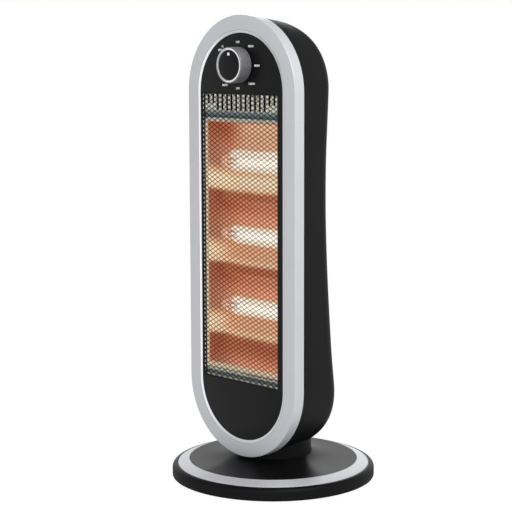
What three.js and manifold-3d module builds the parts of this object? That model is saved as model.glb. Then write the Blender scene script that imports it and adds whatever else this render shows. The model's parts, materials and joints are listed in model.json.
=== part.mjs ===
// An oscillating halogen tower heater: a round weighted base, and on it a tall flat head with round
// ends that swings from side to side. Millimetres, +Z up, the origin at the middle of the footprint,
// the front towards -Y. The head is a silver bezel over a black panel, with a wire guard, a polished
// reflector and three lamps behind its window, and a black casing behind them all.
import * as THREE from "three";
import { mergeVertices } from "three/addons/utils/BufferGeometryUtils.js";
import Module from "manifold-3d";

// ---------------------------------------------------------------- driving sizes
// Clearances: between pieces that are fastened, between pieces that turn, and round a screw.
const fitGap = 0.3;
const runningGap = 1;
const screwGap = 0.3;
// How far a cutting tool runs past the face that it cuts.
const past = 1;

// The head's outline: straight sides between two half circles, and where the swing axis passes.
const headRadius = 94.1;
const headBottom = 35.2;
const headLength = 552.8;
const faceReach = 56.6;

// Bezel
const bezelFace = 21.75;
const bezelDepth = 15.8;
const bezelWall = 2.6;
const bezelFront = 3.4;
const bezelRound = 2;
const bezelChamfer = 2;
const bezelChamferDepth = 1.6;

// Front panel
const panelSink = 1.2;
const panelFlange = 7.7;
const panelFlangeThickness = 2;
const windowBorder = 3.05;
const windowRise = 1.3;
const windowDrop = 2;

// Guard
const guardSink = 0.5;
const guardThickness = 0.8;
const guardBorder = 1.4;
const guardCellWidth = 41.4;
const guardCellHeight = 22.8;
const guardWire = 1.5;

// Reflector, its troughs and its slotted top flange
const sheet = 0.8;
const reflectorFlange = 2.7;
const reflectorBottomFlange = 10.3;
const reflectorTopFlange = 34;
const troughSag = 28.72;
const troughDepth = 45.8;
const troughFoot = 30.3;
const troughHead = 7.1;
const slotCount = 15;
const slotPitch = 8.28;
const slotWidth = 3.2;
const slotLength = 20;
const slotShortening = 8;
const shortSlotsEachSide = 2;
const slotDrop = 0.8;

// Lamps
const lampCount = 3;
const lampSetback = 34.5;
const tubeRadius = 5;
const tubeWall = 1;
const tubeSeat = 8.3;
const filamentRadius = 1.2;
const capRadius = 7.5;
const capGrip = 7;
const capFlangeRadius = 10;
const capFlangeThickness = 3;
const capTailRadius = 4;
const capTailLength = 7;

// Lamp brackets and heat shield
const bracketSetout = 5;
const bracketSheet = 1.2;
const bracketDepth = 42;
const bracketFoot = 7;
const bracketOverrun = 33;
const shieldSheet = 1;
const shieldGap = 7.2;
const shieldEndInset = 9;
const cutoutRadius = 8;
const cutoutHeight = 8;
const cutoutDrop = 16;

// Casing
const casingInset = 1.5;
const casingWall = 2.5;
const casingCorner = 24;
const casingTaper = 4;
const casingMidTaper = 1.6;
const casingMidShare = 0.5;
const casingTopEase = 0.9;
const casingBottomEase = 0.3;
const spigotLength = 5.2;
const spigotWall = 2;
const ventCount = 7;
const ventPitch = 9;
const ventWidth = 64;
const ventHeight = 3.6;
const ventEndRise = 60;
// The back's distance behind the swing axis, at shares of the head's length from its bottom.
const casingBack = [
  [0, 33],
  [0.09, 38.5],
  [0.26, 28.4],
  [0.48, 19.5],
  [0.66, 17.8],
  [0.93, 23],
  [1, 4],
];

// Casing screws, their pillars and the panel's bosses
const casingScrewX = 50;
const casingScrewBeyond = 34.2;
const casingScrewOverMotor = 9.8;
const pillarRadius = 5.5;
const pillarFloor = 3;
const bossRadius = 4.5;
const bossLength = 31;
const screwHeadRadius = 3.2;
const screwHeadHeight = 2.4;
const screwRadius = 1.6;
const casingScrewLength = 18;
const pilotPast = 1;

// Knob and rotary switch
const knobRadius = 22;
const knobLength = 18.4;
const knobStandoff = 2.5;
const knobRise = 33.2;
const knobWall = 3.7;
const knobFaceSink = 0.6;
const knobEdge = 0.8;
const knobMouthEdge = 0.6;
const knobBoreStep = 0.6;
const knobFaceThickness = 3;
const knobWeb = 3;
const knobHubRadius = 7;
const shaftRadius = 3;
const shaftDepth = 8;
const switchWidth = 28;
const switchDepth = 23;

// Base
const baseRadius = 130;
const rimBottom = 3;
const plateRise = 0.2;
const rimHeight = 9.5;
const shoulderRun = 7;
const shoulderRise = 6.3;
const coverWall = 3;
const ringWidth = 15.3;
const ringRise = 5.3;
const ringThickness = 1.6;
const domeTop = 33.4;
const domeFullness = 0.6;
const deckDrop = 2.2;
const basePlateThickness = 2;
const footRadius = 9;
const footCount = 5;
const footInset = 26;
const baseScrewCount = 4;
const baseScrewInset = 14;
const baseBossRadius = 5;
const baseScrewLength = 13;
const baseScrewHeadHeight = 1.8;
const ballastWidth = 32;
const ballastGlandGap = 2.5;
const ballastHeight = 6.5;
const glandRadius = 4.6;
const glandBore = 3.4;
const glandLength = 11.5;
const glandFlangeRadius = 5.6;
const glandFlangeThickness = 2;
const glandRise = 5.3;

// Neck
const neckRadius = 48.9;
const neckWall = 3;
const neckFloor = 2.1;
const neckWellRadius = 36;
const neckTop = 66;
const neckShoulder = 11;

// Swing bearing
const spindleRadius = 8;
const spindleBore = 5.5;
const spindleFlangeRadius = 24;
const spindleFlangeThickness = 3;
const bushWall = 3.7;
const washerThickness = 0.8;
const swingPlateZ = 66;
const swingPlateThickness = 2;
const swingPlateWidth = 118;
const swingPlateFront = 36;
const swingPlateBack = 18;
const postRadius = 4.5;
const postX = 52;
const postFrontY = 31;
const postBackY = 12;
const nutRadius = 12;
const nutHeight = 7;
const spindleOverrun = 4;

// Swing drive: a pin on the base, a crank on the motor, and the link between them
const pinOffset = 26;
const crankRadius = 15.6;
const crankX = 33;
const pinRadius = 2.5;
const crankDiscMargin = 3.5;
const crankDiscThickness = 3.5;
const crankGap = 2;
const linkThickness = 3.5;
const linkHalfWidth = 4;
const linkSlotTravel = 3.5;
const linkPlay = 1;
const linkEyeWall = 3;
const motorRadius = 19;
const motorHeight = 17;
const motorShaftRadius = 2.5;

// Terminal block and wiring
const terminalWidth = 30;
const terminalDepth = 16;
const terminalHeight = 14;
const terminalX = -34;
const terminalY = -10;
const loomRadius = 3.5;
const loomRun = 60;

// Tip-over switch
const tipSwitchY = -50;
const tipSwitchWidth = 24;
const tipSwitchDepth = 16;
const tipSwitchHeight = 20;
const tipRoof = 3.5;
const plungerRadius = 4;
const plungerCollarRadius = 6;
const plungerCollarHeight = 2.4;
const plungerTravel = 4;
const springWire = 0.5;
const springRadius = 3.4;
const springTurns = 5;

// Facets of round pieces
const largeFacets = 40;
const mediumFacets = 24;
const smallFacets = 12;
const endFacets = 9;
const sideFacets = 7;
const cornerFacets = 3;
const domeFacets = 4;
const edgeFacets = 3;
const troughFacets = 8;
const coilSteps = 8;
const coilSides = 5;
const loomSteps = 26;
const loomSides = 8;
const filamentFacets = 8;

// ---------------------------------------------------------------- places that follow
const lowerArcZ = headBottom + headRadius;
const upperArcZ = headBottom + headLength - headRadius;
const faceY = -faceReach;
const bezelBackY = faceY + bezelDepth;
const bezelFaceBackY = faceY + bezelFront;
const openingRadius = headRadius - bezelFace;
const panelRadius = openingRadius - fitGap;
const panelFrontY = faceY + panelSink;
const panelFlangeFrontY = bezelFaceBackY + fitGap;
const panelBackY = panelFlangeFrontY + panelFlangeThickness;
const windowHalf = panelRadius - windowBorder;
const windowBottom = lowerArcZ + windowRise;
const windowTop = upperArcZ - windowDrop;
const insetHalf = windowHalf - fitGap;
const insetBottom = windowBottom + fitGap;
const insetTop = windowTop - fitGap;
const guardFrontY = panelFrontY + guardSink;
const guardBackY = guardFrontY + guardThickness;
const flangeFrontY = guardBackY + fitGap;
const cavityHalf = insetHalf - reflectorFlange;
const cavityBottom = insetBottom + reflectorBottomFlange;
const cavityTop = insetTop - reflectorTopFlange;
const troughBackY = flangeFrontY + troughDepth;
const lampY = guardFrontY + lampSetback;
const troughsTop = cavityTop - troughHead;
const lampPitch = (troughsTop - cavityBottom - troughFoot) / lampCount;
const lampZ = (lamp) => troughsTop - lampPitch * (lamp + 0.5);
const troughRadius = ((lampPitch / 2) ** 2 + troughSag ** 2) / (2 * troughSag);
const wallX = cavityHalf + sheet;
const bracketX = wallX + bracketSetout;
const capFlangeX = bracketX + bracketSheet + fitGap;
const tubeHalf = capFlangeX - tubeSeat;
const casingFrontY = bezelBackY + fitGap;
const casingRadius = headRadius - casingInset;
const knobZ = upperArcZ + knobRise;
const knobFrontY = panelFrontY - knobStandoff - knobLength;
const deckTop = domeTop - deckDrop;
const deckBottom = deckTop - coverWall;
const basePlateBottom = rimBottom + plateRise;
const basePlateTop = basePlateBottom + basePlateThickness;
const neckFloorTop = headBottom - fitGap;
const neckFloorBottom = neckFloorTop - neckFloor;
const neckSkirtBottom = deckTop + fitGap;
const washerTop = swingPlateZ - fitGap;
const bushTop = washerTop - washerThickness - fitGap;
const swingPlateTop = swingPlateZ + swingPlateThickness;
const nutBottom = swingPlateTop + fitGap;
const spindleTop = nutBottom + nutHeight + spindleOverrun;
const crankTop = swingPlateZ - crankGap;
const crankBottom = crankTop - crankDiscThickness;
const linkTop = crankBottom - fitGap;
const linkBottom = linkTop - linkThickness;
const crankY = -pinOffset + crankRadius;
const motorBottom = swingPlateTop + fitGap;
const motorTop = motorBottom + motorHeight;
const glandZ = rimBottom + glandRise;
const glandFrontY = baseRadius - glandLength;
const glandNeckY = glandFrontY + glandFlangeThickness;
const ballastOuter = glandFrontY - ballastGlandGap;
const ballastInner = ballastOuter - ballastWidth;
const baseScrewCircle = ballastInner - baseScrewInset;
const footCircle = baseRadius - footInset;

// ---------------------------------------------------------------- solids
const wasm = await Module();
wasm.setup();

// A closed geometry as a solid that can be joined and cut.
function solidOf(geometry) {
  const bare = geometry.clone();
  bare.deleteAttribute("normal");
  bare.deleteAttribute("uv");
  const merged = mergeVertices(bare, 1e-3);
  const corners = [];
  for (let i = 0; i < merged.index.count; i += 3) {
    const [a, b, c] = [0, 1, 2].map((k) => merged.index.getX(i + k));
    if (a !== b && b !== c && c !== a) corners.push(a, b, c);
  }
  return new wasm.Manifold(
    new wasm.Mesh({
      numProp: 3,
      vertProperties: merged.attributes.position.array,
      triVerts: Uint32Array.from(corners),
    }),
  );
}

// A solid as a geometry that a mesh can hold.
function geometryOf(solid) {
  const { vertProperties, triVerts } = solid.getMesh();
  const geometry = new THREE.BufferGeometry();
  geometry.setAttribute("position", new THREE.BufferAttribute(Float32Array.from(vertProperties), 3));
  geometry.setIndex(new THREE.BufferAttribute(Uint32Array.from(triVerts), 1));
  return geometry;
}

const join = (first, ...others) => others.reduce((whole, next) => whole.add(next), first);
const cut = (whole, ...tools) => tools.reduce((rest, tool) => rest.subtract(tool), whole);

// A plain box from its lowest to its highest corner.
function block([x0, y0, z0], [x1, y1, z1]) {
  const box = new THREE.BoxGeometry(x1 - x0, y1 - y0, z1 - z0);
  return solidOf(box.translate((x0 + x1) / 2, (y0 + y1) / 2, (z0 + z1) / 2));
}

// A closed profile of [radius, height] points turned about +Z.
function turned(profile, facets = mediumFacets) {
  const points = profile.map(([r, z]) => new THREE.Vector2(r, z));
  if (THREE.ShapeUtils.area(points) < 0) points.reverse();
  points.push(points[0].clone());
  return solidOf(new THREE.LatheGeometry(points, facets).rotateX(Math.PI / 2));
}

// A round bar, or with a bore a tube, between two heights on the axis through x, y.
function upright(radius, z0, z1, { x = 0, y = 0, bore = 0, facets = smallFacets } = {}) {
  const profile = [[bore, z0], [radius, z0], [radius, z1], [bore, z1]];
  return turned(profile, facets).translate([x, y, 0]);
}

// The same lying along the depth of the heater, from its front end to its back end.
function alongY(profile, x, z, facets = smallFacets) {
  return turned(profile.map(([r, y]) => [r, -y]), facets).rotate([90, 0, 0]).translate([x, 0, z]);
}

const barAlongY = (radius, y0, y1, x, z, facets) =>
  alongY([[0, y0], [radius, y0], [radius, y1], [0, y1]], x, z, facets);

// And lying across the heater.
function alongX(profile, y, z, facets = smallFacets) {
  return turned(profile, facets).rotate([0, 90, 0]).translate([0, y, z]);
}

// A flat outline in the front view, given as a shape of x and z, as a slab between two depths.
function frontSlab(shape, y0, y1, curveSegments = endFacets) {
  const geometry = new THREE.ExtrudeGeometry(shape, { depth: y1 - y0, bevelEnabled: false, curveSegments });
  return solidOf(geometry.rotateX(Math.PI / 2).translate(0, y1, 0));
}

// A flat outline in the plan, as a slab between two heights.
function planSlab(shape, z0, z1, curveSegments = endFacets) {
  const geometry = new THREE.ExtrudeGeometry(shape, { depth: z1 - z0, bevelEnabled: false, curveSegments });
  return solidOf(geometry.translate(0, 0, z0));
}

// A flat outline in the side view, given as a shape of y and z, as a slab between two places across.
function sideSlab(shape, x0, x1) {
  const across = new THREE.Matrix4().makeBasis(
    new THREE.Vector3(0, 1, 0),
    new THREE.Vector3(0, 0, 1),
    new THREE.Vector3(1, 0, 0),
  );
  const geometry = new THREE.ExtrudeGeometry(shape, { depth: x1 - x0, bevelEnabled: false });
  return solidOf(geometry.applyMatrix4(across).translate(x0, 0, 0));
}

const polygon = (points) => new THREE.Shape(points.map(([u, v]) => new THREE.Vector2(u, v)));
const rectangle = (u0, v0, u1, v1) => polygon([[u0, v0], [u1, v0], [u1, v1], [u0, v1]]);

// The head's round-ended outline at some radius, as a shape of x and z.
function headShape(radius) {
  return new THREE.Shape()
    .absarc(0, upperArcZ, radius, 0, Math.PI, false)
    .absarc(0, lowerArcZ, radius, Math.PI, 2 * Math.PI, false);
}

// The same as a loop of points, clockwise from the top, whose left and right halves mirror each other.
function headLoop(inset, sides = 1, topEase = 1, bottomEase = 1) {
  const side = casingRadius - inset;
  const top = casingRadius - inset * topEase;
  const bottom = casingRadius - inset * bottomEase;
  const right = [];
  for (let i = 0; i <= endFacets; i++) {
    const turn = (Math.PI / 2) * (1 - i / endFacets);
    right.push([side * Math.cos(turn), upperArcZ + top * Math.sin(turn)]);
  }
  for (let i = 1; i < sides; i++) {
    right.push([side, upperArcZ + (lowerArcZ - upperArcZ) * (i / sides)]);
  }
  for (let i = 0; i <= endFacets; i++) {
    const turn = -(Math.PI / 2) * (i / endFacets);
    right.push([side * Math.cos(turn), lowerArcZ + bottom * Math.sin(turn)]);
  }
  const left = right.slice(1, -1).reverse().map(([x, z]) => [-x, z]);
  return [...right, ...left];
}

// A skin over loops of equal length. Its ends close across from left to right, or join each other.
function skinned(loops, closed = false) {
  const count = loops[0].length;
  const triangles = [];
  const quad = (a, b, c, d) => triangles.push(a, b, c, a, c, d);
  const last = closed ? loops.length : loops.length - 1;
  for (let k = 0; k < last; k++) {
    const [near, far] = [k * count, ((k + 1) % loops.length) * count];
    for (let i = 0; i < count; i++) {
      const j = (i + 1) % count;
      quad(near + i, near + j, far + j, far + i);
    }
  }
  for (const [start, flip] of closed ? [] : [[0, true], [(loops.length - 1) * count, false]]) {
    for (let i = 0; i < count / 2; i++) {
      const [a, b, c, d] = [i, i + 1, count - i - 1, (count - i) % count].map((k) => start + k);
      if (flip) quad(d, c, b, a);
      else quad(a, b, c, d);
    }
  }
  const geometry = new THREE.BufferGeometry();
  const positions = new Float32Array(loops.flat(2));
  geometry.setAttribute("position", new THREE.BufferAttribute(positions, 3));
  geometry.setIndex(triangles);
  return solidOf(geometry);
}

// ---------------------------------------------------------------- materials and the scene graph
const finish = (color, roughness, metalness = 0, extra = {}) =>
  new THREE.MeshStandardMaterial({ color, roughness, metalness, ...extra });
const blackPlastic = finish(0x222325, 0.5);
const blackSatin = finish(0x1d1d1e, 0.35);
const silverPaint = finish(0xb9bbc0, 0.35, 0.4);
const wireBlack = finish(0x2a2622, 0.5, 0.6);
const polishedSheet = finish(0xd8d5cf, 0.15, 1);
const plainSteel = finish(0xa8abae, 0.35, 1);
const castIron = finish(0x3c3d3f, 0.7, 0.6);
const rubber = finish(0x161616, 0.9);
const quartz = finish(0xfff2dc, 0.05, 0, { transparent: true, opacity: 0.35 });
const glowing = finish(0xffb060, 0.6, 0, { emissive: 0xff8a30 });
const ceramic = finish(0xe9e4d8, 0.8);
const nylon = finish(0xe3dfd2, 0.55);
const insulation = finish(0x30343a, 0.6);

const heater = new THREE.Group();
function place(name, solid, material) {
  const mesh = new THREE.Mesh(geometryOf(solid), material);
  mesh.name = name;
  heater.add(mesh);
}

// ---------------------------------------------------------------- base
// The cover's outer face from the rim up over the ring's seat and the dome to the neck's well.
const shoulderRadius = baseRadius - shoulderRun;
const shoulderZ = rimBottom + rimHeight + shoulderRise;
const ringInner = shoulderRadius - ringWidth;
const ringTopZ = shoulderZ + ringRise;
const wellRadius = neckRadius + runningGap;
const domeCurve = new THREE.QuadraticBezierCurve(
  new THREE.Vector2(ringInner, ringTopZ),
  new THREE.Vector2(ringInner - domeFullness * (ringInner - wellRadius), ringTopZ),
  new THREE.Vector2(wellRadius, domeTop),
);

function baseCover() {
  const dome = domeCurve.getPoints(domeFacets).map((p) => [p.x, p.y]);
  const rimTop = rimBottom + rimHeight;
  const seatDrop = ringThickness + fitGap;
  const shoulder = new THREE.EllipseCurve(
    shoulderRadius, rimTop, shoulderRun, shoulderRise, 0, Math.PI / 2,
  ).getPoints(cornerFacets).map((p) => [p.x, p.y]);
  const outer = [
    [baseRadius, rimBottom],
    ...shoulder,
    [shoulderRadius, shoulderZ - seatDrop],
    [ringInner, ringTopZ - seatDrop],
    ...dome,
    [wellRadius, deckTop],
    [spindleRadius + fitGap, deckTop],
  ];
  const inner = [
    [spindleRadius + fitGap, deckBottom],
    [wellRadius - coverWall, deckBottom],
    [dome[domeFacets / 2][0], dome[domeFacets / 2][1] - coverWall],
    [ringInner - coverWall, ringTopZ - seatDrop - coverWall],
    [shoulderRadius - coverWall, shoulderZ - seatDrop - coverWall],
    [baseRadius - coverWall, rimTop - coverWall / 2],
    [baseRadius - coverWall, rimBottom],
  ];
  let cover = turned([...outer, ...inner], largeFacets);
  for (const [x, y] of onCircle(baseScrewCount, baseScrewCircle, 45)) {
    const roof = domeHeight(baseScrewCircle) - coverWall;
    const boss = upright(baseBossRadius, basePlateTop + fitGap, roof, { x, y });
    const pilot = upright(screwRadius + screwGap, 0, basePlateTop + baseScrewLength, { x, y });
    cover = cut(join(cover, boss), pilot);
  }
  return cut(cover, glandHole());
}

// The stepped hole that the cord's gland sits in.
function glandHole() {
  return alongY([
    [0, glandFrontY - glandFlangeThickness],
    [glandFlangeRadius + fitGap, glandFrontY - glandFlangeThickness],
    [glandFlangeRadius + fitGap, glandNeckY + fitGap],
    [glandRadius + fitGap, glandNeckY + fitGap],
    [glandRadius + fitGap, baseRadius + past],
    [0, baseRadius + past],
  ], 0, glandZ);
}

// The dome's height over the floor at some distance from the axis.
function domeHeight(radius) {
  const points = domeCurve.getPoints(40);
  return points.find((p) => p.x <= radius).y;
}

// Places spaced evenly on a circle, from some angle in degrees.
function onCircle(count, radius, start) {
  return Array.from({ length: count }, (_, i) => {
    const turn = THREE.MathUtils.degToRad(start + (360 * i) / count);
    return [radius * Math.cos(turn), radius * Math.sin(turn)];
  });
}

place("base_cover", baseCover(), blackSatin);

place(
  "base_trim_ring",
  turned([
    [shoulderRadius - fitGap, shoulderZ - ringThickness],
    [shoulderRadius - fitGap, shoulderZ],
    [ringInner + fitGap, ringTopZ],
    [ringInner + fitGap, ringTopZ - ringThickness],
  ], largeFacets),
  silverPaint,
);

function basePlate() {
  const rim = baseRadius - coverWall - fitGap;
  let plate = upright(rim, basePlateBottom, basePlateTop, { facets: largeFacets });
  for (const [x, y] of onCircle(baseScrewCount, baseScrewCircle, 45)) {
    plate = cut(plate, upright(screwRadius + screwGap, 0, basePlateTop + past, { x, y }));
  }
  const glandNotch = block(
    [-glandFlangeRadius - fitGap, glandFrontY - fitGap, 0],
    [glandFlangeRadius + fitGap, baseRadius, basePlateTop + past],
  );
  const plungerHole = upright(plungerRadius + fitGap, 0, basePlateTop + past, { y: tipSwitchY });
  return cut(plate, glandNotch, plungerHole);
}
place("base_plate", basePlate(), plainSteel);

place(
  "ballast_weight",
  upright(ballastOuter, basePlateTop + fitGap, basePlateTop + fitGap + ballastHeight, {
    bore: ballastInner,
    facets: largeFacets,
  }),
  castIron,
);

onCircle(footCount, footCircle, -90).forEach(([x, y], i) => {
  const top = basePlateBottom - fitGap;
  place(`rubber_foot_${i + 1}`, upright(footRadius, 0, top, { x, y }), rubber);
});

onCircle(baseScrewCount, baseScrewCircle, 45).forEach(([x, y], i) => {
  const seat = basePlateBottom - fitGap;
  const profile = [
    [0, seat - baseScrewHeadHeight],
    [screwHeadRadius, seat - baseScrewHeadHeight],
    [screwHeadRadius, seat],
    [screwRadius, seat],
    [screwRadius, basePlateTop + baseScrewLength - pilotPast],
    [0, basePlateTop + baseScrewLength - pilotPast],
  ];
  place(`base_screw_${i + 1}`, turned(profile, smallFacets).translate([x, y, 0]), plainSteel);
});

place(
  "cord_gland",
  alongY([
    [glandBore, glandFrontY],
    [glandFlangeRadius, glandFrontY],
    [glandFlangeRadius, glandNeckY],
    [glandRadius, glandNeckY],
    [glandRadius, baseRadius - fitGap],
    [glandBore, baseRadius - fitGap],
  ], 0, glandZ),
  rubber,
);

// ---------------------------------------------------------------- tip-over switch
const tipBodyBottom = basePlateTop + fitGap;
const tipBodyTop = tipBodyBottom + tipSwitchHeight;
const tipBoreTop = tipBodyTop - tipRoof;
const collarBottom = basePlateTop + 2 * fitGap + plungerTravel;
const collarTop = collarBottom + plungerCollarHeight;

place(
  "tip_switch",
  cut(
    block(
      [-tipSwitchWidth / 2, tipSwitchY - tipSwitchDepth / 2, tipBodyBottom],
      [tipSwitchWidth / 2, tipSwitchY + tipSwitchDepth / 2, tipBodyTop],
    ),
    upright(plungerCollarRadius + fitGap, 0, tipBoreTop, { y: tipSwitchY }),
  ),
  blackPlastic,
);

place(
  "tip_plunger",
  turned([
    [0, 0],
    [plungerRadius, 0],
    [plungerRadius, collarBottom],
    [plungerCollarRadius, collarBottom],
    [plungerCollarRadius, collarTop],
    [0, collarTop],
  ], smallFacets).translate([0, tipSwitchY, 0]),
  nylon,
);

// The plunger's spring: a helix between the collar and the roof of the switch's bore.
class Helix extends THREE.Curve {
  constructor(radius, z0, z1, turns) {
    super();
    Object.assign(this, { radius, z0, z1, turns });
  }
  getPoint(t, target = new THREE.Vector3()) {
    const turn = 2 * Math.PI * this.turns * t;
    const height = this.z0 + (this.z1 - this.z0) * t;
    return target.set(this.radius * Math.cos(turn), this.radius * Math.sin(turn), height);
  }
}

function tipSpring() {
  const reach = springWire + fitGap;
  const [z0, z1] = [collarTop + reach, tipBoreTop - reach];
  const path = new Helix(springRadius, z0, z1, springTurns);
  const section = polygon(onCircle(coilSides, springWire, 0));
  const coil = new THREE.ExtrudeGeometry(section, { steps: springTurns * coilSteps, extrudePath: path });
  return solidOf(coil.translate(0, tipSwitchY, 0));
}
place("tip_spring", tipSpring(), plainSteel);

// ---------------------------------------------------------------- swing bearing, on the base
place(
  "spindle",
  turned([
    [spindleBore, deckBottom - fitGap - spindleFlangeThickness],
    [spindleFlangeRadius, deckBottom - fitGap - spindleFlangeThickness],
    [spindleFlangeRadius, deckBottom - fitGap],
    [spindleRadius, deckBottom - fitGap],
    [spindleRadius, spindleTop],
    [spindleBore, spindleTop],
  ]),
  plainSteel,
);

const bushBore = spindleRadius + fitGap;
place(
  "swing_bush",
  upright(bushBore + bushWall, deckTop + fitGap, bushTop, { bore: bushBore, facets: mediumFacets }),
  nylon,
);
place(
  "thrust_washer",
  upright(bushBore + bushWall, bushTop + fitGap, washerTop, { bore: bushBore, facets: mediumFacets }),
  plainSteel,
);
place(
  "spindle_nut",
  cut(
    upright(nutRadius, nutBottom, nutBottom + nutHeight, { facets: 6 }),
    upright(bushBore, 0, nutBottom + nutHeight + past, { facets: mediumFacets }),
  ),
  plainSteel,
);

place(
  "link_pin",
  turned([
    [0, deckTop + fitGap],
    [2 * pinRadius, deckTop + fitGap],
    [2 * pinRadius, deckTop + fitGap + pinRadius],
    [pinRadius, deckTop + fitGap + pinRadius],
    [pinRadius, linkTop - fitGap],
    [0, linkTop - fitGap],
  ], smallFacets).translate([0, -pinOffset, 0]),
  plainSteel,
);

// ---------------------------------------------------------------- casing
const backCurve = new THREE.SplineCurve(
  casingBack.map(([share, y]) => new THREE.Vector2(headBottom + share * headLength, y)),
);
const backPoints = backCurve.getPoints(200);

// How far behind the swing axis the casing's outer back lies at a height.
function backAt(z) {
  const after = backPoints.findIndex((p) => p.x >= z);
  if (after < 0) return backPoints[backPoints.length - 1].y;
  if (after === 0) return backPoints[0].y;
  const [a, b] = [backPoints[after - 1], backPoints[after]];
  return a.y + ((b.y - a.y) * (z - a.x)) / (b.x - a.x);
}

// The casing's outline as one solid, moved inwards everywhere by a distance.
function casingBody(inwards, frontY) {
  const loops = [];
  // A loop at a share of the way from the front to where the corner starts, and past that by some depth.
  const loopAt = (inset, share, beyond) =>
    headLoop(inset + inwards, sideFacets, casingTopEase, casingBottomEase).map(([x, z]) => {
      const cornerY = backAt(z) - inwards - casingCorner;
      return [x, beyond + frontY + (cornerY - frontY) * share, z];
    });
  loops.push(loopAt(0, 0, 0), loopAt(casingMidTaper, casingMidShare, 0));
  for (let i = 0; i <= cornerFacets; i++) {
    const turn = (Math.PI / 2) * (i / cornerFacets);
    loops.push(loopAt(casingTaper + casingCorner * (1 - Math.cos(turn)), 1, casingCorner * Math.sin(turn)));
  }
  return skinned(loops);
}

const screwPlaces = [motorTop + casingScrewOverMotor, upperArcZ + casingScrewBeyond]
  .flatMap((z) => [-casingScrewX, casingScrewX].map((x) => [x, z]));
const bossEndY = panelBackY + bossLength;
const pillarFrontY = bossEndY + fitGap;
const screwSeatY = pillarFrontY + pillarFloor;

function rearCasing() {
  const spigotRadius = headRadius - bezelWall - fitGap;
  const spigotFrontY = casingFrontY - spigotLength;
  const shell = cut(casingBody(0, casingFrontY), casingBody(casingWall, casingFrontY - past));
  const spigot = cut(
    frontSlab(headShape(spigotRadius), spigotFrontY, casingFrontY + casingWall),
    frontSlab(headShape(spigotRadius - spigotWall), spigotFrontY - past, casingFrontY + casingWall + past),
  );
  let casing = join(shell, spigot);
  const outside = casingBody(0, casingFrontY - past);
  for (const [x, z] of screwPlaces) {
    const back = backAt(z) + past;
    const pillar = barAlongY(pillarRadius, pillarFrontY, back, x, z).intersect(outside);
    const bore = barAlongY(screwHeadRadius + screwGap, screwSeatY, back + past, x, z);
    const hole = barAlongY(screwRadius + screwGap, pillarFrontY - past, back, x, z);
    casing = cut(join(casing, pillar), bore, hole);
  }
  const postTop = swingPlateZ - fitGap;
  for (const x of [-postX, postX]) {
    for (const y of [-postFrontY, postBackY]) {
      const post = upright(postRadius, headBottom, postTop, { x, y }).intersect(outside);
      casing = join(casing, post);
    }
  }
  casing = cut(casing, upright(neckWellRadius, 0, swingPlateZ, { facets: mediumFacets }));
  for (const z of [lowerArcZ + ventEndRise, upperArcZ - ventEndRise]) {
    for (let i = 0; i < ventCount; i++) {
      const middle = z + (i - (ventCount - 1) / 2) * ventPitch;
      const back = backAt(middle);
      casing = cut(casing, block(
        [-ventWidth / 2, back - 4 * casingWall, middle - ventHeight / 2],
        [ventWidth / 2, back + 4 * casingWall, middle + ventHeight / 2],
      ));
    }
  }
  return casing;
}
place("rear_casing", rearCasing(), blackPlastic);

screwPlaces.forEach(([x, z], i) => {
  const seat = screwSeatY + fitGap;
  const profile = [
    [0, seat + screwHeadHeight],
    [screwHeadRadius, seat + screwHeadHeight],
    [screwHeadRadius, seat],
    [screwRadius, seat],
    [screwRadius, seat - casingScrewLength],
    [0, seat - casingScrewLength],
  ];
  place(`casing_screw_${i + 1}`, alongY(profile, x, z), plainSteel);
});

// ---------------------------------------------------------------- neck
// A short drum that turns in the base's well. The head's own outline is cut out of its top.
function neckCollar() {
  const shoulder = new THREE.EllipseCurve(
    neckRadius - neckShoulder, neckTop - neckShoulder, neckShoulder, neckShoulder, 0, Math.PI / 2,
  ).getPoints(cornerFacets).map((p) => [p.x, p.y]);
  const hollow = new THREE.EllipseCurve(
    neckRadius - neckShoulder, neckTop - neckShoulder,
    neckShoulder - neckWall, neckShoulder - neckWall, 0, Math.PI / 2,
  ).getPoints(cornerFacets).map((p) => [p.x, p.y]);
  const drum = turned([
    [neckWellRadius, neckFloorBottom],
    [neckRadius - neckWall, neckFloorBottom],
    [neckRadius - neckWall, neckSkirtBottom],
    [neckRadius, neckSkirtBottom],
    ...shoulder,
    [0, neckTop],
    [0, neckTop - neckWall],
    ...hollow.reverse(),
    [neckRadius - neckWall, neckFloorTop],
    [neckWellRadius, neckFloorTop],
  ], largeFacets);
  const head = join(
    casingBody(-fitGap, casingFrontY),
    frontSlab(headShape(headRadius + fitGap), faceY - fitGap, casingFrontY + past),
  );
  return cut(drum, head);
}
place("neck_collar", neckCollar(), blackPlastic);

// ---------------------------------------------------------------- bezel and panel
function frontBezel() {
  const outward = headRadius - casingRadius;
  const round = Array.from({ length: edgeFacets + 1 }, (_, i) => {
    const turn = (Math.PI / 2) * (i / edgeFacets);
    return [bezelRound * (1 - Math.cos(turn)), faceY + bezelRound * (1 - Math.sin(turn))];
  });
  const section = [
    [0, bezelBackY],
    ...round,
    [bezelFace - bezelChamfer, faceY],
    [bezelFace, faceY + bezelChamferDepth],
    [bezelFace, bezelFaceBackY],
    [bezelWall, bezelFaceBackY],
    [bezelWall, bezelBackY],
  ];
  return skinned(
    section.map(([inset, y]) => headLoop(inset - outward).map(([x, z]) => [x, y, z])).reverse(),
    true,
  );
}
place("front_bezel", frontBezel(), silverPaint);

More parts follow.
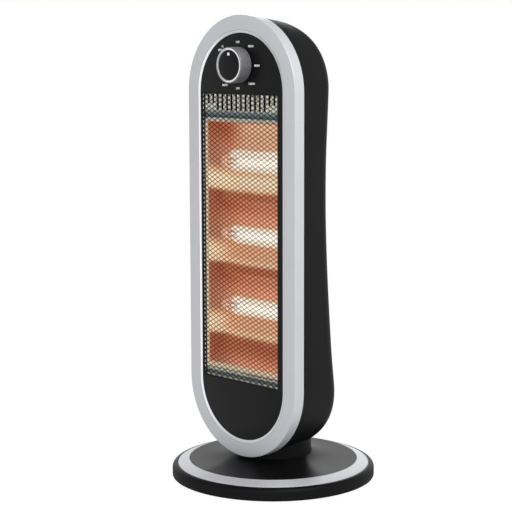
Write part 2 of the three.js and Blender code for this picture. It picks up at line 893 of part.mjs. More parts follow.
function frontPanel() {
  const plateau = frontSlab(headShape(panelRadius), panelFrontY, panelFlangeFrontY + panelFlangeThickness);
  const flange = frontSlab(headShape(openingRadius + panelFlange), panelFlangeFrontY, panelBackY);
  const window = rectangle(-windowHalf, windowBottom, windowHalf, windowTop);
  let panel = cut(
    join(plateau, flange),
    frontSlab(window, panelFrontY - past, panelBackY + past),
    barAlongY(shaftRadius + runningGap, panelFrontY - past, panelBackY + past, 0, knobZ),
  );
  for (const [x, z] of screwPlaces) {
    const boss = barAlongY(bossRadius, panelBackY - panelFlangeThickness / 2, bossEndY, x, z);
    const pilotFront = screwSeatY - casingScrewLength - pilotPast;
    const pilot = barAlongY(screwRadius + screwGap, pilotFront, bossEndY + past, x, z);
    panel = cut(join(panel, boss), pilot);
  }
  return panel;
}
place("front_panel", frontPanel(), blackSatin);

// ---------------------------------------------------------------- guard
// A flat net of diamonds in a thin border. Its cells are centred on the window.
function guardMesh() {
  const [halfWidth, halfHeight] = [guardCellWidth / 2, guardCellHeight / 2];
  const apothem = (halfWidth * halfHeight) / Math.hypot(halfWidth, halfHeight);
  const open = 1 - guardWire / 2 / apothem;
  const middleZ = (insetBottom + insetTop) / 2;
  const columns = Math.ceil(insetHalf / halfWidth) + 1;
  const rows = Math.ceil((insetTop - insetBottom) / 2 / halfHeight) + 1;
  const diamonds = [];
  for (let row = -rows; row <= rows; row++) {
    for (let column = -columns; column <= columns; column++) {
      if ((row + column) % 2 !== 0) continue;
      const [x, z] = [column * halfWidth, middleZ + row * halfHeight];
      diamonds.push(polygon([
        [x - halfWidth * open, z],
        [x, z - halfHeight * open],
        [x + halfWidth * open, z],
        [x, z + halfHeight * open],
      ]));
    }
  }
  const area = rectangle(
    -insetHalf + guardBorder, insetBottom + guardBorder, insetHalf - guardBorder, insetTop - guardBorder,
  );
  const holes = frontSlab(diamonds, guardFrontY - past, guardBackY + past)
    .intersect(frontSlab(area, guardFrontY - 2 * past, guardBackY + 2 * past));
  const plate = frontSlab(rectangle(-insetHalf, insetBottom, insetHalf, insetTop), guardFrontY, guardBackY);
  return cut(plate, holes);
}
place("guard_mesh", guardMesh(), wireBlack);

// ---------------------------------------------------------------- reflector
// The lengthwise section of the troughs, as [y, z] points on the polished face from bottom to top.
const troughFrontY = flangeFrontY + sheet + fitGap;
function troughSection() {
  const half = lampPitch / 2;
  const points = [[troughFrontY, cavityBottom]];
  for (let lamp = lampCount - 1; lamp >= 0; lamp--) {
    for (let i = lamp === lampCount - 1 ? 0 : 1; i <= troughFacets; i++) {
      const rise = half * ((2 * i) / troughFacets - 1);
      const y = troughBackY - troughRadius + Math.sqrt(troughRadius ** 2 - rise ** 2);
      points.push([y, lampZ(lamp) + rise]);
    }
  }
  points.push([troughFrontY, cavityTop]);
  return points;
}

function reflector() {
  const section = troughSection();
  const behind = section.map(([y, z]) => [y + sheet, z]).reverse();
  const half = cavityHalf - fitGap;
  return sideSlab(polygon([...section, ...behind]), -half, half);
}
place("reflector", reflector(), polishedSheet);

// The frame that holds the trough sheet: the slotted flange, and the two side walls folded back from it.
function reflectorFrame() {
  const wallShape = polygon([
    [flangeFrontY + sheet / 2, cavityBottom],
    ...troughSection().map(([y, z]) => [y + sheet, z]),
    [flangeFrontY + sheet / 2, cavityTop],
  ]);
  const walls = [-wallX, cavityHalf].map((x) => sideSlab(wallShape, x, x + sheet));
  const outline = rectangle(-insetHalf, insetBottom, insetHalf, insetTop);
  const plate = frontSlab(outline, flangeFrontY, flangeFrontY + sheet);
  const mouth = block(
    [-cavityHalf, flangeFrontY - past, cavityBottom + sheet],
    [cavityHalf, flangeFrontY + sheet + past, cavityTop - sheet],
  );
  let whole = join(cut(plate, mouth), ...walls);
  const lampHole = capRadius + fitGap;
  for (let lamp = 0; lamp < lampCount; lamp++) {
    for (const [x0, x1] of [[-wallX - past, -cavityHalf + past], [cavityHalf - past, wallX + past]]) {
      const hole = [[0, x0], [lampHole, x0], [lampHole, x1], [0, x1]];
      whole = cut(whole, alongX(hole, lampY, lampZ(lamp)));
    }
  }
  for (let i = 0; i < slotCount; i++) {
    const outer = Math.min(i, slotCount - 1 - i) < shortSlotsEachSide;
    const x = (i - (slotCount - 1) / 2) * slotPitch;
    const top = insetTop - slotDrop;
    const bottom = top - slotLength + (outer ? slotShortening : 0);
    whole = cut(whole, block(
      [x - slotWidth / 2, flangeFrontY - past, bottom],
      [x + slotWidth / 2, flangeFrontY + sheet + past, top],
    ));
  }
  return whole;
}
place("reflector_frame", reflectorFrame(), polishedSheet);

// ---------------------------------------------------------------- lamps
const barProfile = (inner, outer) =>
  [[inner, -tubeHalf], [outer, -tubeHalf], [outer, tubeHalf], [inner, tubeHalf]];
for (let lamp = 0; lamp < lampCount; lamp++) {
  const z = lampZ(lamp);
  const inner = tubeRadius - tubeWall;
  place(
    `halogen_tube_${lamp + 1}`,
    alongX(barProfile(inner, tubeRadius), lampY, z),
    quartz,
  );
  place(
    `filament_${lamp + 1}`,
    alongX(barProfile(0, filamentRadius), lampY, z, filamentFacets),
    glowing,
  );
  for (const side of [-1, 1]) {
    const profile = [
      [tubeRadius + fitGap, tubeHalf - capGrip],
      [capRadius, tubeHalf - capGrip],
      [capRadius, capFlangeX],
      [capFlangeRadius, capFlangeX],
      [capFlangeRadius, capFlangeX + capFlangeThickness],
      [capTailRadius, capFlangeX + capFlangeThickness],
      [capTailRadius, capFlangeX + capFlangeThickness + capTailLength],
      [0, capFlangeX + capFlangeThickness + capTailLength],
      [0, tubeHalf + fitGap],
      [tubeRadius + fitGap, tubeHalf + fitGap],
    ];
    place(
      `lamp_cap_${lamp + 1}_${side < 0 ? "left" : "right"}`,
      alongX(profile.map(([r, x]) => [r, side * x]), lampY, z),
      ceramic,
    );
  }
}

// ---------------------------------------------------------------- lamp brackets and heat shield
for (const side of [-1, 1]) {
  const backY = panelBackY + fitGap + bracketDepth;
  const frontY = panelBackY + fitGap;
  const angle = polygon([
    [side * bracketX, backY],
    [side * (bracketX + bracketSheet), backY],
    [side * (bracketX + bracketSheet), frontY + bracketSheet],
    [side * (bracketX + bracketSheet + bracketFoot), frontY + bracketSheet],
    [side * (bracketX + bracketSheet + bracketFoot), frontY],
    [side * bracketX, frontY],
  ]);
  let bracket = planSlab(angle, lampZ(lampCount - 1) - bracketOverrun, lampZ(0) + bracketOverrun);
  for (let lamp = 0; lamp < lampCount; lamp++) {
    const x0 = side * bracketX;
    const [x1, x2] = [x0 - 3 * bracketSheet, x0 + 3 * bracketSheet];
    const hole = [[0, x1], [capRadius + fitGap, x1], [capRadius + fitGap, x2], [0, x2]];
    bracket = cut(bracket, alongX(hole, lampY, lampZ(lamp)));
  }
  place(`lamp_bracket_${side < 0 ? "left" : "right"}`, bracket, plainSteel);
}

const shieldFrontY = troughBackY + sheet + shieldGap;
const shieldFlangeY = lampY + capRadius + runningGap;
const shieldBackY = shieldFrontY + shieldSheet;
const shieldHalf = wallX + fitGap + shieldSheet;
place(
  "heat_shield",
  planSlab(
    polygon([
      [-shieldHalf, shieldBackY],
      [-shieldHalf, shieldFlangeY],
      [-shieldHalf + shieldSheet, shieldFlangeY],
      [-shieldHalf + shieldSheet, shieldFrontY],
      [shieldHalf - shieldSheet, shieldFrontY],
      [shieldHalf - shieldSheet, shieldFlangeY],
      [shieldHalf, shieldFlangeY],
      [shieldHalf, shieldBackY],
    ]),
    cavityBottom + shieldEndInset,
    cavityTop - shieldEndInset,
  ),
  plainSteel,
);
const cutoutZ = cavityTop - shieldEndInset - cutoutDrop;
place(
  "thermal_cutout",
  barAlongY(cutoutRadius, shieldBackY + fitGap, shieldBackY + fitGap + cutoutHeight, 0, cutoutZ),
  plainSteel,
);

// ---------------------------------------------------------------- knob and rotary switch
const knobBackY = knobFrontY + knobLength;
const knobFaceY = knobFrontY + knobFaceSink;
const knobWebY = knobFaceY + knobFaceThickness + fitGap;
const knobBore = knobRadius - knobWall;
place(
  "knob_sleeve",
  alongY([
    [shaftRadius + fitGap, knobWebY],
    [knobBore, knobWebY],
    [knobBore, knobFrontY + knobMouthEdge],
    [knobBore + knobMouthEdge, knobFrontY],
    [knobRadius - knobEdge, knobFrontY],
    [knobRadius, knobFrontY + knobEdge],
    [knobRadius, knobBackY],
    [knobBore + knobBoreStep, knobBackY],
    [knobBore + knobBoreStep, knobWebY + knobWeb],
    [knobHubRadius, knobWebY + knobWeb],
    [knobHubRadius, knobBackY],
    [shaftRadius + fitGap, knobBackY],
  ], 0, knobZ, mediumFacets),
  silverPaint,
);
place(
  "knob_face",
  barAlongY(knobBore - fitGap, knobFaceY, knobFaceY + knobFaceThickness, 0, knobZ, mediumFacets),
  blackSatin,
);
const switchFrontY = panelBackY + fitGap;
place(
  "switch_shaft",
  barAlongY(shaftRadius, knobWebY + fitGap, switchFrontY + shaftDepth, 0, knobZ),
  plainSteel,
);
place(
  "rotary_switch",
  cut(
    block(
      [-switchWidth / 2, switchFrontY, knobZ - switchWidth / 2],
      [switchWidth / 2, switchFrontY + switchDepth, knobZ + switchWidth / 2],
    ),
    barAlongY(shaftRadius + fitGap, switchFrontY - past, switchFrontY + shaftDepth + fitGap, 0, knobZ),
  ),
  nylon,
);

// ---------------------------------------------------------------- swing plate, motor and drive
function swingPlate() {
  const outline = rectangle(-swingPlateWidth / 2, -swingPlateFront, swingPlateWidth / 2, swingPlateBack);
  return cut(
    planSlab(outline, swingPlateZ, swingPlateTop),
    upright(bushBore, 0, swingPlateTop + past, { facets: mediumFacets }),
    upright(motorShaftRadius + fitGap, 0, swingPlateTop + past, { x: crankX, y: crankY }),
  );
}
place("swing_plate", swingPlate(), plainSteel);

const motorBoreTop = motorBottom + motorHeight / 2;
place(
  "swing_motor",
  cut(
    upright(motorRadius, motorBottom, motorTop, { x: crankX, y: crankY, facets: mediumFacets }),
    upright(motorShaftRadius + fitGap, 0, motorBoreTop, { x: crankX, y: crankY }),
  ),
  plainSteel,
);

// The crank: the motor's shaft, its disc, and the crank pin below it. At rest the pin points to the front.
function crank() {
  const shaft = upright(motorShaftRadius, crankTop - past, motorBoreTop - fitGap, {
    x: crankX,
    y: crankY,
  });
  const disc = upright(crankRadius + crankDiscMargin, crankBottom, crankTop, {
    x: crankX,
    y: crankY,
    facets: mediumFacets,
  });
  const pin = upright(pinRadius, linkBottom - fitGap, crankBottom + past, { x: crankX, y: -pinOffset });
  return join(disc, shaft, pin);
}
place("crank_disc", crank(), plainSteel);

// The link: a round eye on the crank pin, a bar, and a slotted eye round the base's pin. As the head
// turns, that pin moves a little towards the front of the slot.
function swingLink() {
  const pinHole = pinRadius + fitGap;
  const slotHalf = pinRadius + linkPlay;
  const slotted = (half, z0, z1) => join(
    upright(half, z0, z1, { y: -pinOffset }),
    upright(half, z0, z1, { y: -pinOffset - linkSlotTravel }),
    block([-half, -pinOffset - linkSlotTravel, z0], [half, -pinOffset, z1]),
  );
  const bar = block(
    [0, -pinOffset - linkHalfWidth, linkBottom],
    [crankX, -pinOffset + linkHalfWidth, linkTop],
  );
  return cut(
    join(
      upright(pinHole + linkEyeWall, linkBottom, linkTop, { x: crankX, y: -pinOffset }),
      bar,
      slotted(slotHalf + linkEyeWall, linkBottom, linkTop),
    ),
    upright(pinHole, 0, linkTop + past, { x: crankX, y: -pinOffset }),
    slotted(slotHalf, linkBottom - past, linkTop + past),
  );
}
place("swing_link", swingLink(), plainSteel);

// ---------------------------------------------------------------- terminal block and wiring
const terminalBottom = swingPlateTop + fitGap;
const terminalTop = terminalBottom + terminalHeight;
place(
  "terminal_block",
  block(
    [terminalX - terminalWidth / 2, terminalY - terminalDepth / 2, terminalBottom],
    [terminalX + terminalWidth / 2, terminalY + terminalDepth / 2, terminalTop],
  ),
  nylon,
);

function supplyLoom() {
  const riserY = shieldBackY + 2 * loomRadius;
  const switchBackY = switchFrontY + switchDepth + fitGap;
  const path = new THREE.CatmullRomCurve3([
    [terminalX, terminalY, terminalTop + fitGap],
    [terminalX, terminalY, terminalTop + 4 * loomRadius],
    [terminalX - 2, riserY - 2, cavityBottom - 10],
    [terminalX - 4, riserY, cavityBottom + loomRun],
    [terminalX - 6, riserY, (cavityBottom + cavityTop) / 2],
    [terminalX - 6, riserY, cavityTop - loomRun],
    [terminalX, riserY - 1, cavityTop + 6],
    [terminalX / 2, riserY - 8, knobZ - 30],
    [0, switchBackY + 4 * loomRadius, knobZ],
    [0, switchBackY, knobZ],
  ].map((p) => new THREE.Vector3(...p)));
  const section = polygon(onCircle(loomSides, loomRadius, 0));
  return solidOf(new THREE.ExtrudeGeometry(section, { steps: loomSteps, extrudePath: path }));
}
place("supply_loom", supplyLoom(), insulation);

export default heater;
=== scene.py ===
"""A three-lamp halogen heater that swings on a round base: its looks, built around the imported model.
Metres, +Z up, the front towards -Y."""

import json
import math

import bmesh
import bpy
from mathutils import Matrix, Vector

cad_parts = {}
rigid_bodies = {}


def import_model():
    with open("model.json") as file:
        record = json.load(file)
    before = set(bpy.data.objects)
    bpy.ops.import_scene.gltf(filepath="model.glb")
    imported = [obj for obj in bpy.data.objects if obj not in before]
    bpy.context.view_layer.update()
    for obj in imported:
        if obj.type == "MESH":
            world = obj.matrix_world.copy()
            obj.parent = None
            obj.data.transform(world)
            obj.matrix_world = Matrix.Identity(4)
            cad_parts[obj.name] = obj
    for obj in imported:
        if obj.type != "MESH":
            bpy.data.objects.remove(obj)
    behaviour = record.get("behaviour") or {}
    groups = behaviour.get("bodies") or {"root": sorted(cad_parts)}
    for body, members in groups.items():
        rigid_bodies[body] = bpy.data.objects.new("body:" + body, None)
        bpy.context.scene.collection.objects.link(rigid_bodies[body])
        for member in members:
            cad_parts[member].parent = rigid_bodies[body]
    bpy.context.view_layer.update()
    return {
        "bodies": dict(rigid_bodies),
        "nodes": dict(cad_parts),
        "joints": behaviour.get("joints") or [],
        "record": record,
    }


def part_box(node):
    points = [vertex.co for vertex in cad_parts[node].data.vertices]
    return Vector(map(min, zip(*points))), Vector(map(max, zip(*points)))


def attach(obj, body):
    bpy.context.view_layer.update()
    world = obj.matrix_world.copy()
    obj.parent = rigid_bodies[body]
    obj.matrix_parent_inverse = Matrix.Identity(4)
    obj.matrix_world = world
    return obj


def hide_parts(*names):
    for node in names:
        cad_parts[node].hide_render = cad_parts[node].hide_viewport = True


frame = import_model()
nodes = frame["nodes"]
scene = bpy.context.scene
mm = 0.001

# ---------------------------------------------------------------- studio
# A white floor and backdrop, a soft lamp high on the right, a wider one near the camera and one behind on
# the left. The camera stands where the photograph was taken from, half round to the right of the front.
studio_white = (1.0, 1.0, 1.0)
studio_light = (0.62, 0.63, 0.65)
studio_ceiling = (0.16, 0.16, 0.17)

scene.view_settings.view_transform = "Standard"


def link(thing):
    """Puts a new object in the scene."""
    scene.collection.objects.link(thing)
    return thing


def stand_camera(azimuth, elevation, roll, distance, aim, lens):
    """A camera at a distance from the swing axis, its view centred on aim, as (across, height)."""
    turn, rise, tilt = (math.radians(angle) for angle in (azimuth, elevation, roll))
    back = Vector((math.sin(turn) * math.cos(rise), -math.cos(turn) * math.cos(rise), math.sin(rise)))
    right = Vector((math.cos(turn), math.sin(turn), 0))
    up = back.cross(right)
    across, height = aim
    axes = Matrix((
        math.cos(tilt) * right - math.sin(tilt) * up,
        math.sin(tilt) * right + math.cos(tilt) * up,
        back,
    )).transposed().to_4x4()
    place = Vector((0, 0, height)) + back * distance + right * across
    camera = link(bpy.data.objects.new("camera", bpy.data.cameras.new("camera")))
    camera.data.sensor_width = 36
    camera.data.lens = lens
    camera.data.clip_end = 50
    camera.matrix_world = Matrix.Translation(place) @ axes
    return camera


scene.camera = stand_camera(
    azimuth=45.56, elevation=8.07, roll=0.18, distance=1.96331, aim=(-0.02134, 0.28616), lens=108.73
)


def hang_lamp(name, place, aim, size, power):
    """A rectangular soft lamp at a place, turned to face its aim."""
    lamp = link(bpy.data.objects.new(name, bpy.data.lights.new(name, "AREA")))
    lamp.data.shape = "RECTANGLE"
    lamp.data.size, lamp.data.size_y = size
    lamp.data.energy = power
    lamp.location = place
    lamp.rotation_euler = (Vector(aim) - Vector(place)).to_track_quat("-Z", "Y").to_euler()


heater_middle = (0, 0, 0.3)
heater_top = (0, 0, 0.5)
hang_lamp("key_lamp", (0.85, -0.1, 1.3), heater_top, (0.6, 0.6), 11)
hang_lamp("rim_lamp", (-1.2, 1.3, 1.1), heater_top, (0.8, 0.4), 6)
hang_lamp("fill_lamp", (1.2, -1.8, 1.15), heater_middle, (1.2, 1.2), 13.5)


class Wire:
    """An output among a tree's nodes. A sum on it adds the node that works the sum out."""

    def __init__(self, nodes, socket):
        self.nodes = nodes
        self.socket = socket

    def __add__(self, other):
        return self.nodes.maths("ADD", self, other)

    def __sub__(self, other):
        return self.nodes.maths("SUBTRACT", self, other)

    def __rsub__(self, other):
        return self.nodes.maths("SUBTRACT", other, self)

    def __mul__(self, other):
        return self.nodes.maths("MULTIPLY", self, other)

    def __truediv__(self, other):
        return self.nodes.maths("DIVIDE", self, other)

    def __abs__(self):
        return self.nodes.maths("ABSOLUTE", self)

    __radd__ = __add__
    __rmul__ = __mul__

    def rise(self, low, high):
        """0 below low and 1 above high, smooth between."""
        settings = {"interpolation_type": "SMOOTHSTEP"}
        return self.nodes.add("ShaderNodeMapRange", settings, [self, low, high])

    def band(self, low, high, soft):
        """1 between two values and 0 outside, with soft edges."""
        return self.rise(low - soft, low + soft) * (1 - self.rise(high - soft, high + soft))


class Nodes:
    """A tree of nodes, each added with its settings and the values or wires of its sockets."""

    def __init__(self, tree):
        self.tree = tree

    def add(self, kind, settings=None, values=(), output=None):
        """A node: its settings first, then its sockets, by their order or by their names."""
        node = self.tree.nodes.new(kind)
        for name, value in (settings or {}).items():
            if name == "stops":
                self.set_stops(node.color_ramp.elements, value)
            else:
                setattr(node, name, value)
        sockets = [socket for socket in node.inputs if socket.enabled]
        named = {socket.name: socket for socket in reversed(sockets)}
        pairs = values.items() if isinstance(values, dict) else zip(range(len(values)), values)
        for spot, value in pairs:
            self.put(value, named[spot] if isinstance(spot, str) else sockets[spot])
        outputs = [socket for socket in node.outputs if socket.enabled]
        found = outputs[0] if output is None else node.outputs[output]
        return Wire(self, found)

    @staticmethod
    def set_stops(ramp, stops):
        """A colour ramp's stops, each a place from 0 to 1 and a colour."""
        while len(ramp) < len(stops):
            ramp.new(1.0)
        for stop, (spot, colour) in zip(ramp, stops):
            stop.position = spot
            stop.color = (*colour, 1.0)

    def put(self, value, socket):
        """Sets a socket to a plain value, or links a wire to it."""
        if isinstance(value, Wire):
            self.tree.links.new(value.socket, socket)
        elif socket.type == "RGBA" and len(value) == 3:
            socket.default_value = (*value, 1.0)
        else:
            socket.default_value = value

    def maths(self, operation, *values):
        """One sum on numbers or wires."""
        return self.add("ShaderNodeMath", {"operation": operation}, values)

    def mix(self, amount, first, second):
        """A colour between two."""
        return self.add("ShaderNodeMix", {"data_type": "RGBA"}, [amount, first, second])

    def seen_directly(self):
        """1 on rays that come from the camera, a mirror or glass, and 0 on light."""
        camera, mirror, glass = (
            self.add("ShaderNodeLightPath", output=f"Is {kind} Ray")
            for kind in ("Camera", "Glossy", "Transmission")
        )
        return self.maths("MAXIMUM", self.maths("MAXIMUM", camera, mirror), glass)


def light_world():
    """White behind the heater, darker overhead, and a plain grey for what lights it."""
    world = bpy.data.worlds.new("studio")
    world.use_nodes = True
    sky = Nodes(world.node_tree)
    direction = sky.add("ShaderNodeTexCoord", output="Generated")
    overhead = sky.add("ShaderNodeSeparateXYZ", values=[direction], output="Z").rise(0.25, 0.75)
    backdrop = sky.mix(overhead, studio_white, studio_ceiling)
    colour = sky.mix(sky.seen_directly(), studio_light, backdrop)
    sky.put(colour, world.node_tree.nodes["Background"].inputs["Color"])
    scene.world = world


def lay_floor(height, half, glow):
    """A pale floor that shows white to the camera, and keeps a soft shadow under the heater."""
    mesh = bpy.data.meshes.new("floor")
    corners = [(-half, -half, height), (half, -half, height), (half, half, height), (-half, half, height)]
    mesh.from_pydata(corners, [], [(0, 1, 2, 3)])
    floor = link(bpy.data.objects.new("floor", mesh))
    pale_highlight = bpy.data.materials.new("studio_floor")
    pale_highlight.use_nodes = True
    layers = Nodes(pale_highlight.node_tree)
    paint = layers.add("ShaderNodeBsdfDiffuse", values={"Color": (0.86, 0.86, 0.86)})
    white = layers.add("ShaderNodeEmission", values={"Color": studio_white, "Strength": 1.03})
    mixed = layers.add("ShaderNodeMixShader", values=[layers.seen_directly() * glow, paint, white])
    layers.put(mixed, pale_highlight.node_tree.nodes["Material Output"].inputs["Surface"])
    mesh.materials.append(pale_highlight)


light_world()
lay_floor(height=-0.2 * mm, half=9.0, glow=0.93)

# ---------------------------------------------------------------- base cover
# The round, weighted foot: one gloss black injection moulding, its skirt rolling over to a shoulder
# that seats the trim ring, then a shallow dome rising to the well in which the neck turns.


class Finish(Nodes):
    """A material of the heater, whose surface is worked out from where each point lies on it."""

    def __init__(self, name, **constants):
        self.material = bpy.data.materials.new(name)
        self.material.use_nodes = True
        super().__init__(self.material.node_tree)
        self.shader = self.tree.nodes["Principled BSDF"]
        self.place = self.add("ShaderNodeTexCoord", output="Object")
        self.x, self.y, self.z = self.parts(self.place)
        self.surface(**constants)

    def parts(self, wire):
        """The three numbers of a vector."""
        split = self.add("ShaderNodeSeparateXYZ", values=[wire]).socket.node
        return [Wire(self, split.outputs[axis]) for axis in "XYZ"]

    def noise(self, size, detail=2.0, stretch=(1, 1, 1)):
        """A cloudy pattern from 0 to 1 whose blotches are about size across."""
        scale = [1 / (size * factor) for factor in stretch]
        stretched = self.add("ShaderNodeMapping", values={"Vector": self.place, "Scale": scale})
        return self.add("ShaderNodeTexNoise", values={"Vector": stretched, "Scale": 1.0, "Detail": detail})

    def ramp(self, amount, *stops):
        """A colour that changes with an amount, through stops of (place, colour)."""
        return self.add("ShaderNodeValToRGB", {"stops": stops}, [amount])

    def length(self, u, v):
        """How long a line is that runs u one way and v across it."""
        return self.maths("SQRT", u * u + v * v)

    def relief(self, height, depth):
        """A fine surface relief, as deep as depth where height goes from 0 to 1."""
        return self.add("ShaderNodeBump", values={"Height": height, "Distance": depth}, output="Normal")

    def surface(self, **sockets):
        """Sets the shader's sockets, named as on the shader but in small letters with underscores."""
        for name, value in sockets.items():
            spelled = "Specular IOR Level" if name == "specular" else name.replace("_", " ").title()
            self.put(value, self.shader.inputs[spelled])


def shade(red, green, blue):
    """A colour given as a screen shows it, from 0 to 255, in the shader's own linear numbers."""
    parts = (red / 255, green / 255, blue / 255)
    return tuple(part / 12.92 if part < 0.0405 else ((part + 0.055) / 1.055) ** 2.4 for part in parts)


def solid(name, corners, faces):
    """A closed solid from its corners and faces: doubles merged, and every face turned outwards."""
    mesh = bpy.data.meshes.new(name)
    mesh.from_pydata(corners, [], faces)
    made = bmesh.new()
    made.from_mesh(mesh)
    bmesh.ops.remove_doubles(made, verts=made.verts, dist=2e-6)
    bmesh.ops.recalc_face_normals(made, faces=made.faces)
    made.to_mesh(mesh)
    made.free()
    return link(bpy.data.objects.new(name, mesh))


def turned(name, outline, facets, frame=Matrix()):
    """A closed outline of (radius, height) turned about +Z, then put in place by a frame."""
    corners, faces, rings = [], [], []
    for radius, height in outline:
        count = facets if radius > 1e-7 else 1
        rings.append((len(corners), count))
        for k in range(count):
            angle = 2 * math.pi * k / facets
            corners.append(frame @ Vector((radius * math.cos(angle), radius * math.sin(angle), height)))
    for i, (first, count) in enumerate(rings):
        second, other = rings[(i + 1) % len(rings)]
        for k in range(facets if count + other > 2 else 0):
            ring = [first + k % count, first + (k + 1) % count, second + (k + 1) % other, second + k % other]
            faces.append(tuple(dict.fromkeys(ring)))
    return solid(name, corners, faces)


def rod(radius, low, high):
    """The outline of a plain rod, for turning, from a low height to a high one."""
    return [(0, low), (radius, low), (radius, high), (0, high)]


def baked(thing, change=None):
    """Turns an object with its modifiers into a plain mesh, and takes a modifier off it."""
    mesh = bpy.data.meshes.new_from_object(thing.evaluated_get(bpy.context.evaluated_depsgraph_get()))
    if change:
        thing.modifiers.remove(change)
    if thing.type == "MESH":
        thing.data = mesh
    return mesh


def combined(body, tool, operation="DIFFERENCE"):
    """A solid cut by a tool, or joined with it. The tool is used up."""
    change = body.modifiers.new("combined", "BOOLEAN")
    change.object = tool
    change.operation = operation
    change.solver = "EXACT"
    baked(body, change)
    bpy.data.objects.remove(tool)
    return body


def fitted(thing, finish, body, slot, *replaced, sharp=35):
    """Smooths and finishes a piece, puts it on the body it rides on, and hides the nodes it stands for."""
    thing.data.shade_smooth()
    thing.data.set_sharp_from_angle(angle=math.radians(sharp))
    thing.data.materials.clear()
    thing.data.materials.append(finish.material)
    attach(thing, body)
    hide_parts(*replaced)


along_y = Matrix.Rotation(math.radians(-90), 4, "X")
upright = Matrix.Rotation(math.radians(90), 4, "X")
along_x = Matrix.Rotation(math.radians(90), 4, "Y")

cover_low, cover_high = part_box("base_cover")
ring_low, ring_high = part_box("base_trim_ring")
collar_low, collar_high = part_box("neck_collar")
gland_low, gland_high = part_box("cord_gland")
base_radius = cover_high.x
skirt_bottom = cover_low.z
skirt_top = skirt_bottom + 9.5 * mm
shoulder_run = 7 * mm
cover_wall = 3 * mm
ring_width = 15.3 * mm
ring_sheet = 1.6 * mm
fit_gap = 0.3 * mm
well_gap = 1 * mm
shoulder_radius = base_radius - shoulder_run
ring_inner = shoulder_radius - ring_width
shoulder_top = ring_high.z - 5.3 * mm
well_radius = collar_high.x + well_gap
deck_top = cover_high.z - 2.2 * mm
spindle_hole = 8.3 * mm
gland_radius = 4.6 * mm
gland_height = (gland_low.z + gland_high.z) / 2


def quarter(centre, reach, rise, steps):
    """A quarter ellipse from straight out to straight up, about a centre (u, v)."""
    turns = [math.pi / 2 * k / steps for k in range(steps + 1)]
    return [(centre[0] + reach * math.cos(t), centre[1] + rise * math.sin(t)) for t in turns]


def dome(steps):
    """The dome's line, from the ring's inner edge up and in to the neck's well."""
    start, end = Vector((ring_inner, ring_high.z)), Vector((well_radius, cover_high.z))
    crown = Vector((ring_inner - 0.6 * (ring_inner - well_radius), ring_high.z))
    shares = [k / steps for k in range(steps + 1)]
    return [tuple(start * (1 - t) ** 2 + crown * 2 * t * (1 - t) + end * t**2) for t in shares]


seat_drop = ring_sheet + fit_gap
cover_line = [
    (base_radius - 0.8 * mm, skirt_bottom),
    (base_radius - 0.2 * mm, skirt_bottom + 0.2 * mm),
    (base_radius, skirt_bottom + 0.8 * mm),
    *quarter((shoulder_radius, skirt_top), shoulder_run, shoulder_top - skirt_top, 12),
    (shoulder_radius - 0.1 * mm, shoulder_top - seat_drop),
    (ring_inner, ring_high.z - seat_drop),
    *dome(24)[:-1],
    (well_radius + 0.6 * mm, cover_high.z - 0.05 * mm),
    (well_radius + 0.1 * mm, cover_high.z - 0.4 * mm),
    (well_radius, cover_high.z - 0.9 * mm),
    (well_radius, deck_top),
    (spindle_hole, deck_top),
    (spindle_hole, deck_top - cover_wall),
    (well_radius - cover_wall, deck_top - cover_wall),
    *[(r, h - cover_wall) for r, h in reversed(dome(6)[:-1])],
    (shoulder_radius - cover_wall, shoulder_top - seat_drop - cover_wall),
    (base_radius - cover_wall, skirt_top - cover_wall / 2),
    (base_radius - cover_wall, skirt_bottom),
]

gloss_black = Finish("gloss_black_plastic", specular=0.1)
sheen_clouds = gloss_black.noise(35 * mm, detail=3)
on_skirt = 1 - gloss_black.z.rise(skirt_top, shoulder_top)
gloss_black.surface(
    base_color=gloss_black.mix(sheen_clouds, (0.003, 0.003, 0.0033), (0.0055, 0.0055, 0.0058)),
    roughness=0.34 + 0.05 * sheen_clouds + 0.3 * on_skirt,
    normal=gloss_black.relief(gloss_black.noise(1.1 * mm), 0.006 * mm),
)

base_cover = turned("base_moulding", cover_line, 192)
gland_bore = rod(gland_radius + fit_gap, base_radius - 14 * mm, base_radius + 2 * mm)
gland_place = Matrix.Translation((0, 0, gland_height)) @ along_y
combined(base_cover, turned("gland_bore", gland_bore, 32, gland_place))
fitted(base_cover, gloss_black, "base", "base_gloss", "base_cover")

# ---------------------------------------------------------------- trim ring
# A thin silver-painted plastic ring, snapped into the seat on the base's shoulder. Its face slopes
# up and inwards with the base, very slightly crowned.


def coated(name, dark, light, clouds, rough, wear=None, grain=None, relief=0.0, **constants):
    """A finish between two colours, with a lowest roughness and how much more it gets. Clouds, wear and
    grain are noises for colour, roughness and relief, and one that isn't given is the one before it."""
    finish = Finish(name, **constants)
    pattern = finish.noise(*clouds)
    finish.surface(base_color=finish.mix(pattern, dark, light))
    pattern = finish.noise(*wear) if wear else pattern
    finish.surface(roughness=rough[0] + rough[1] * pattern)
    pattern = finish.noise(*grain) if grain else pattern
    if relief:
        finish.surface(normal=finish.relief(pattern, relief))
    return finish


ring_silver = coated(
    "ring_silver", (0.68, 0.685, 0.705), (0.78, 0.785, 0.805), (0.5 * mm, 4), (0.4, 0.1),
    relief=0.006 * mm, metallic=0.6,
)
ring_outer_edge = shoulder_radius - fit_gap
ring_inner_edge = ring_inner + fit_gap
ring_crown = 0.25 * mm


def ring_face(share):
    """A point on the ring's face, from its outer edge to its inner one."""
    radius = ring_outer_edge + (ring_inner_edge - ring_outer_edge) * share
    height = shoulder_top + (ring_high.z - shoulder_top) * share
    return (radius, height + ring_crown * math.sin(math.pi * share) * (1 - share))


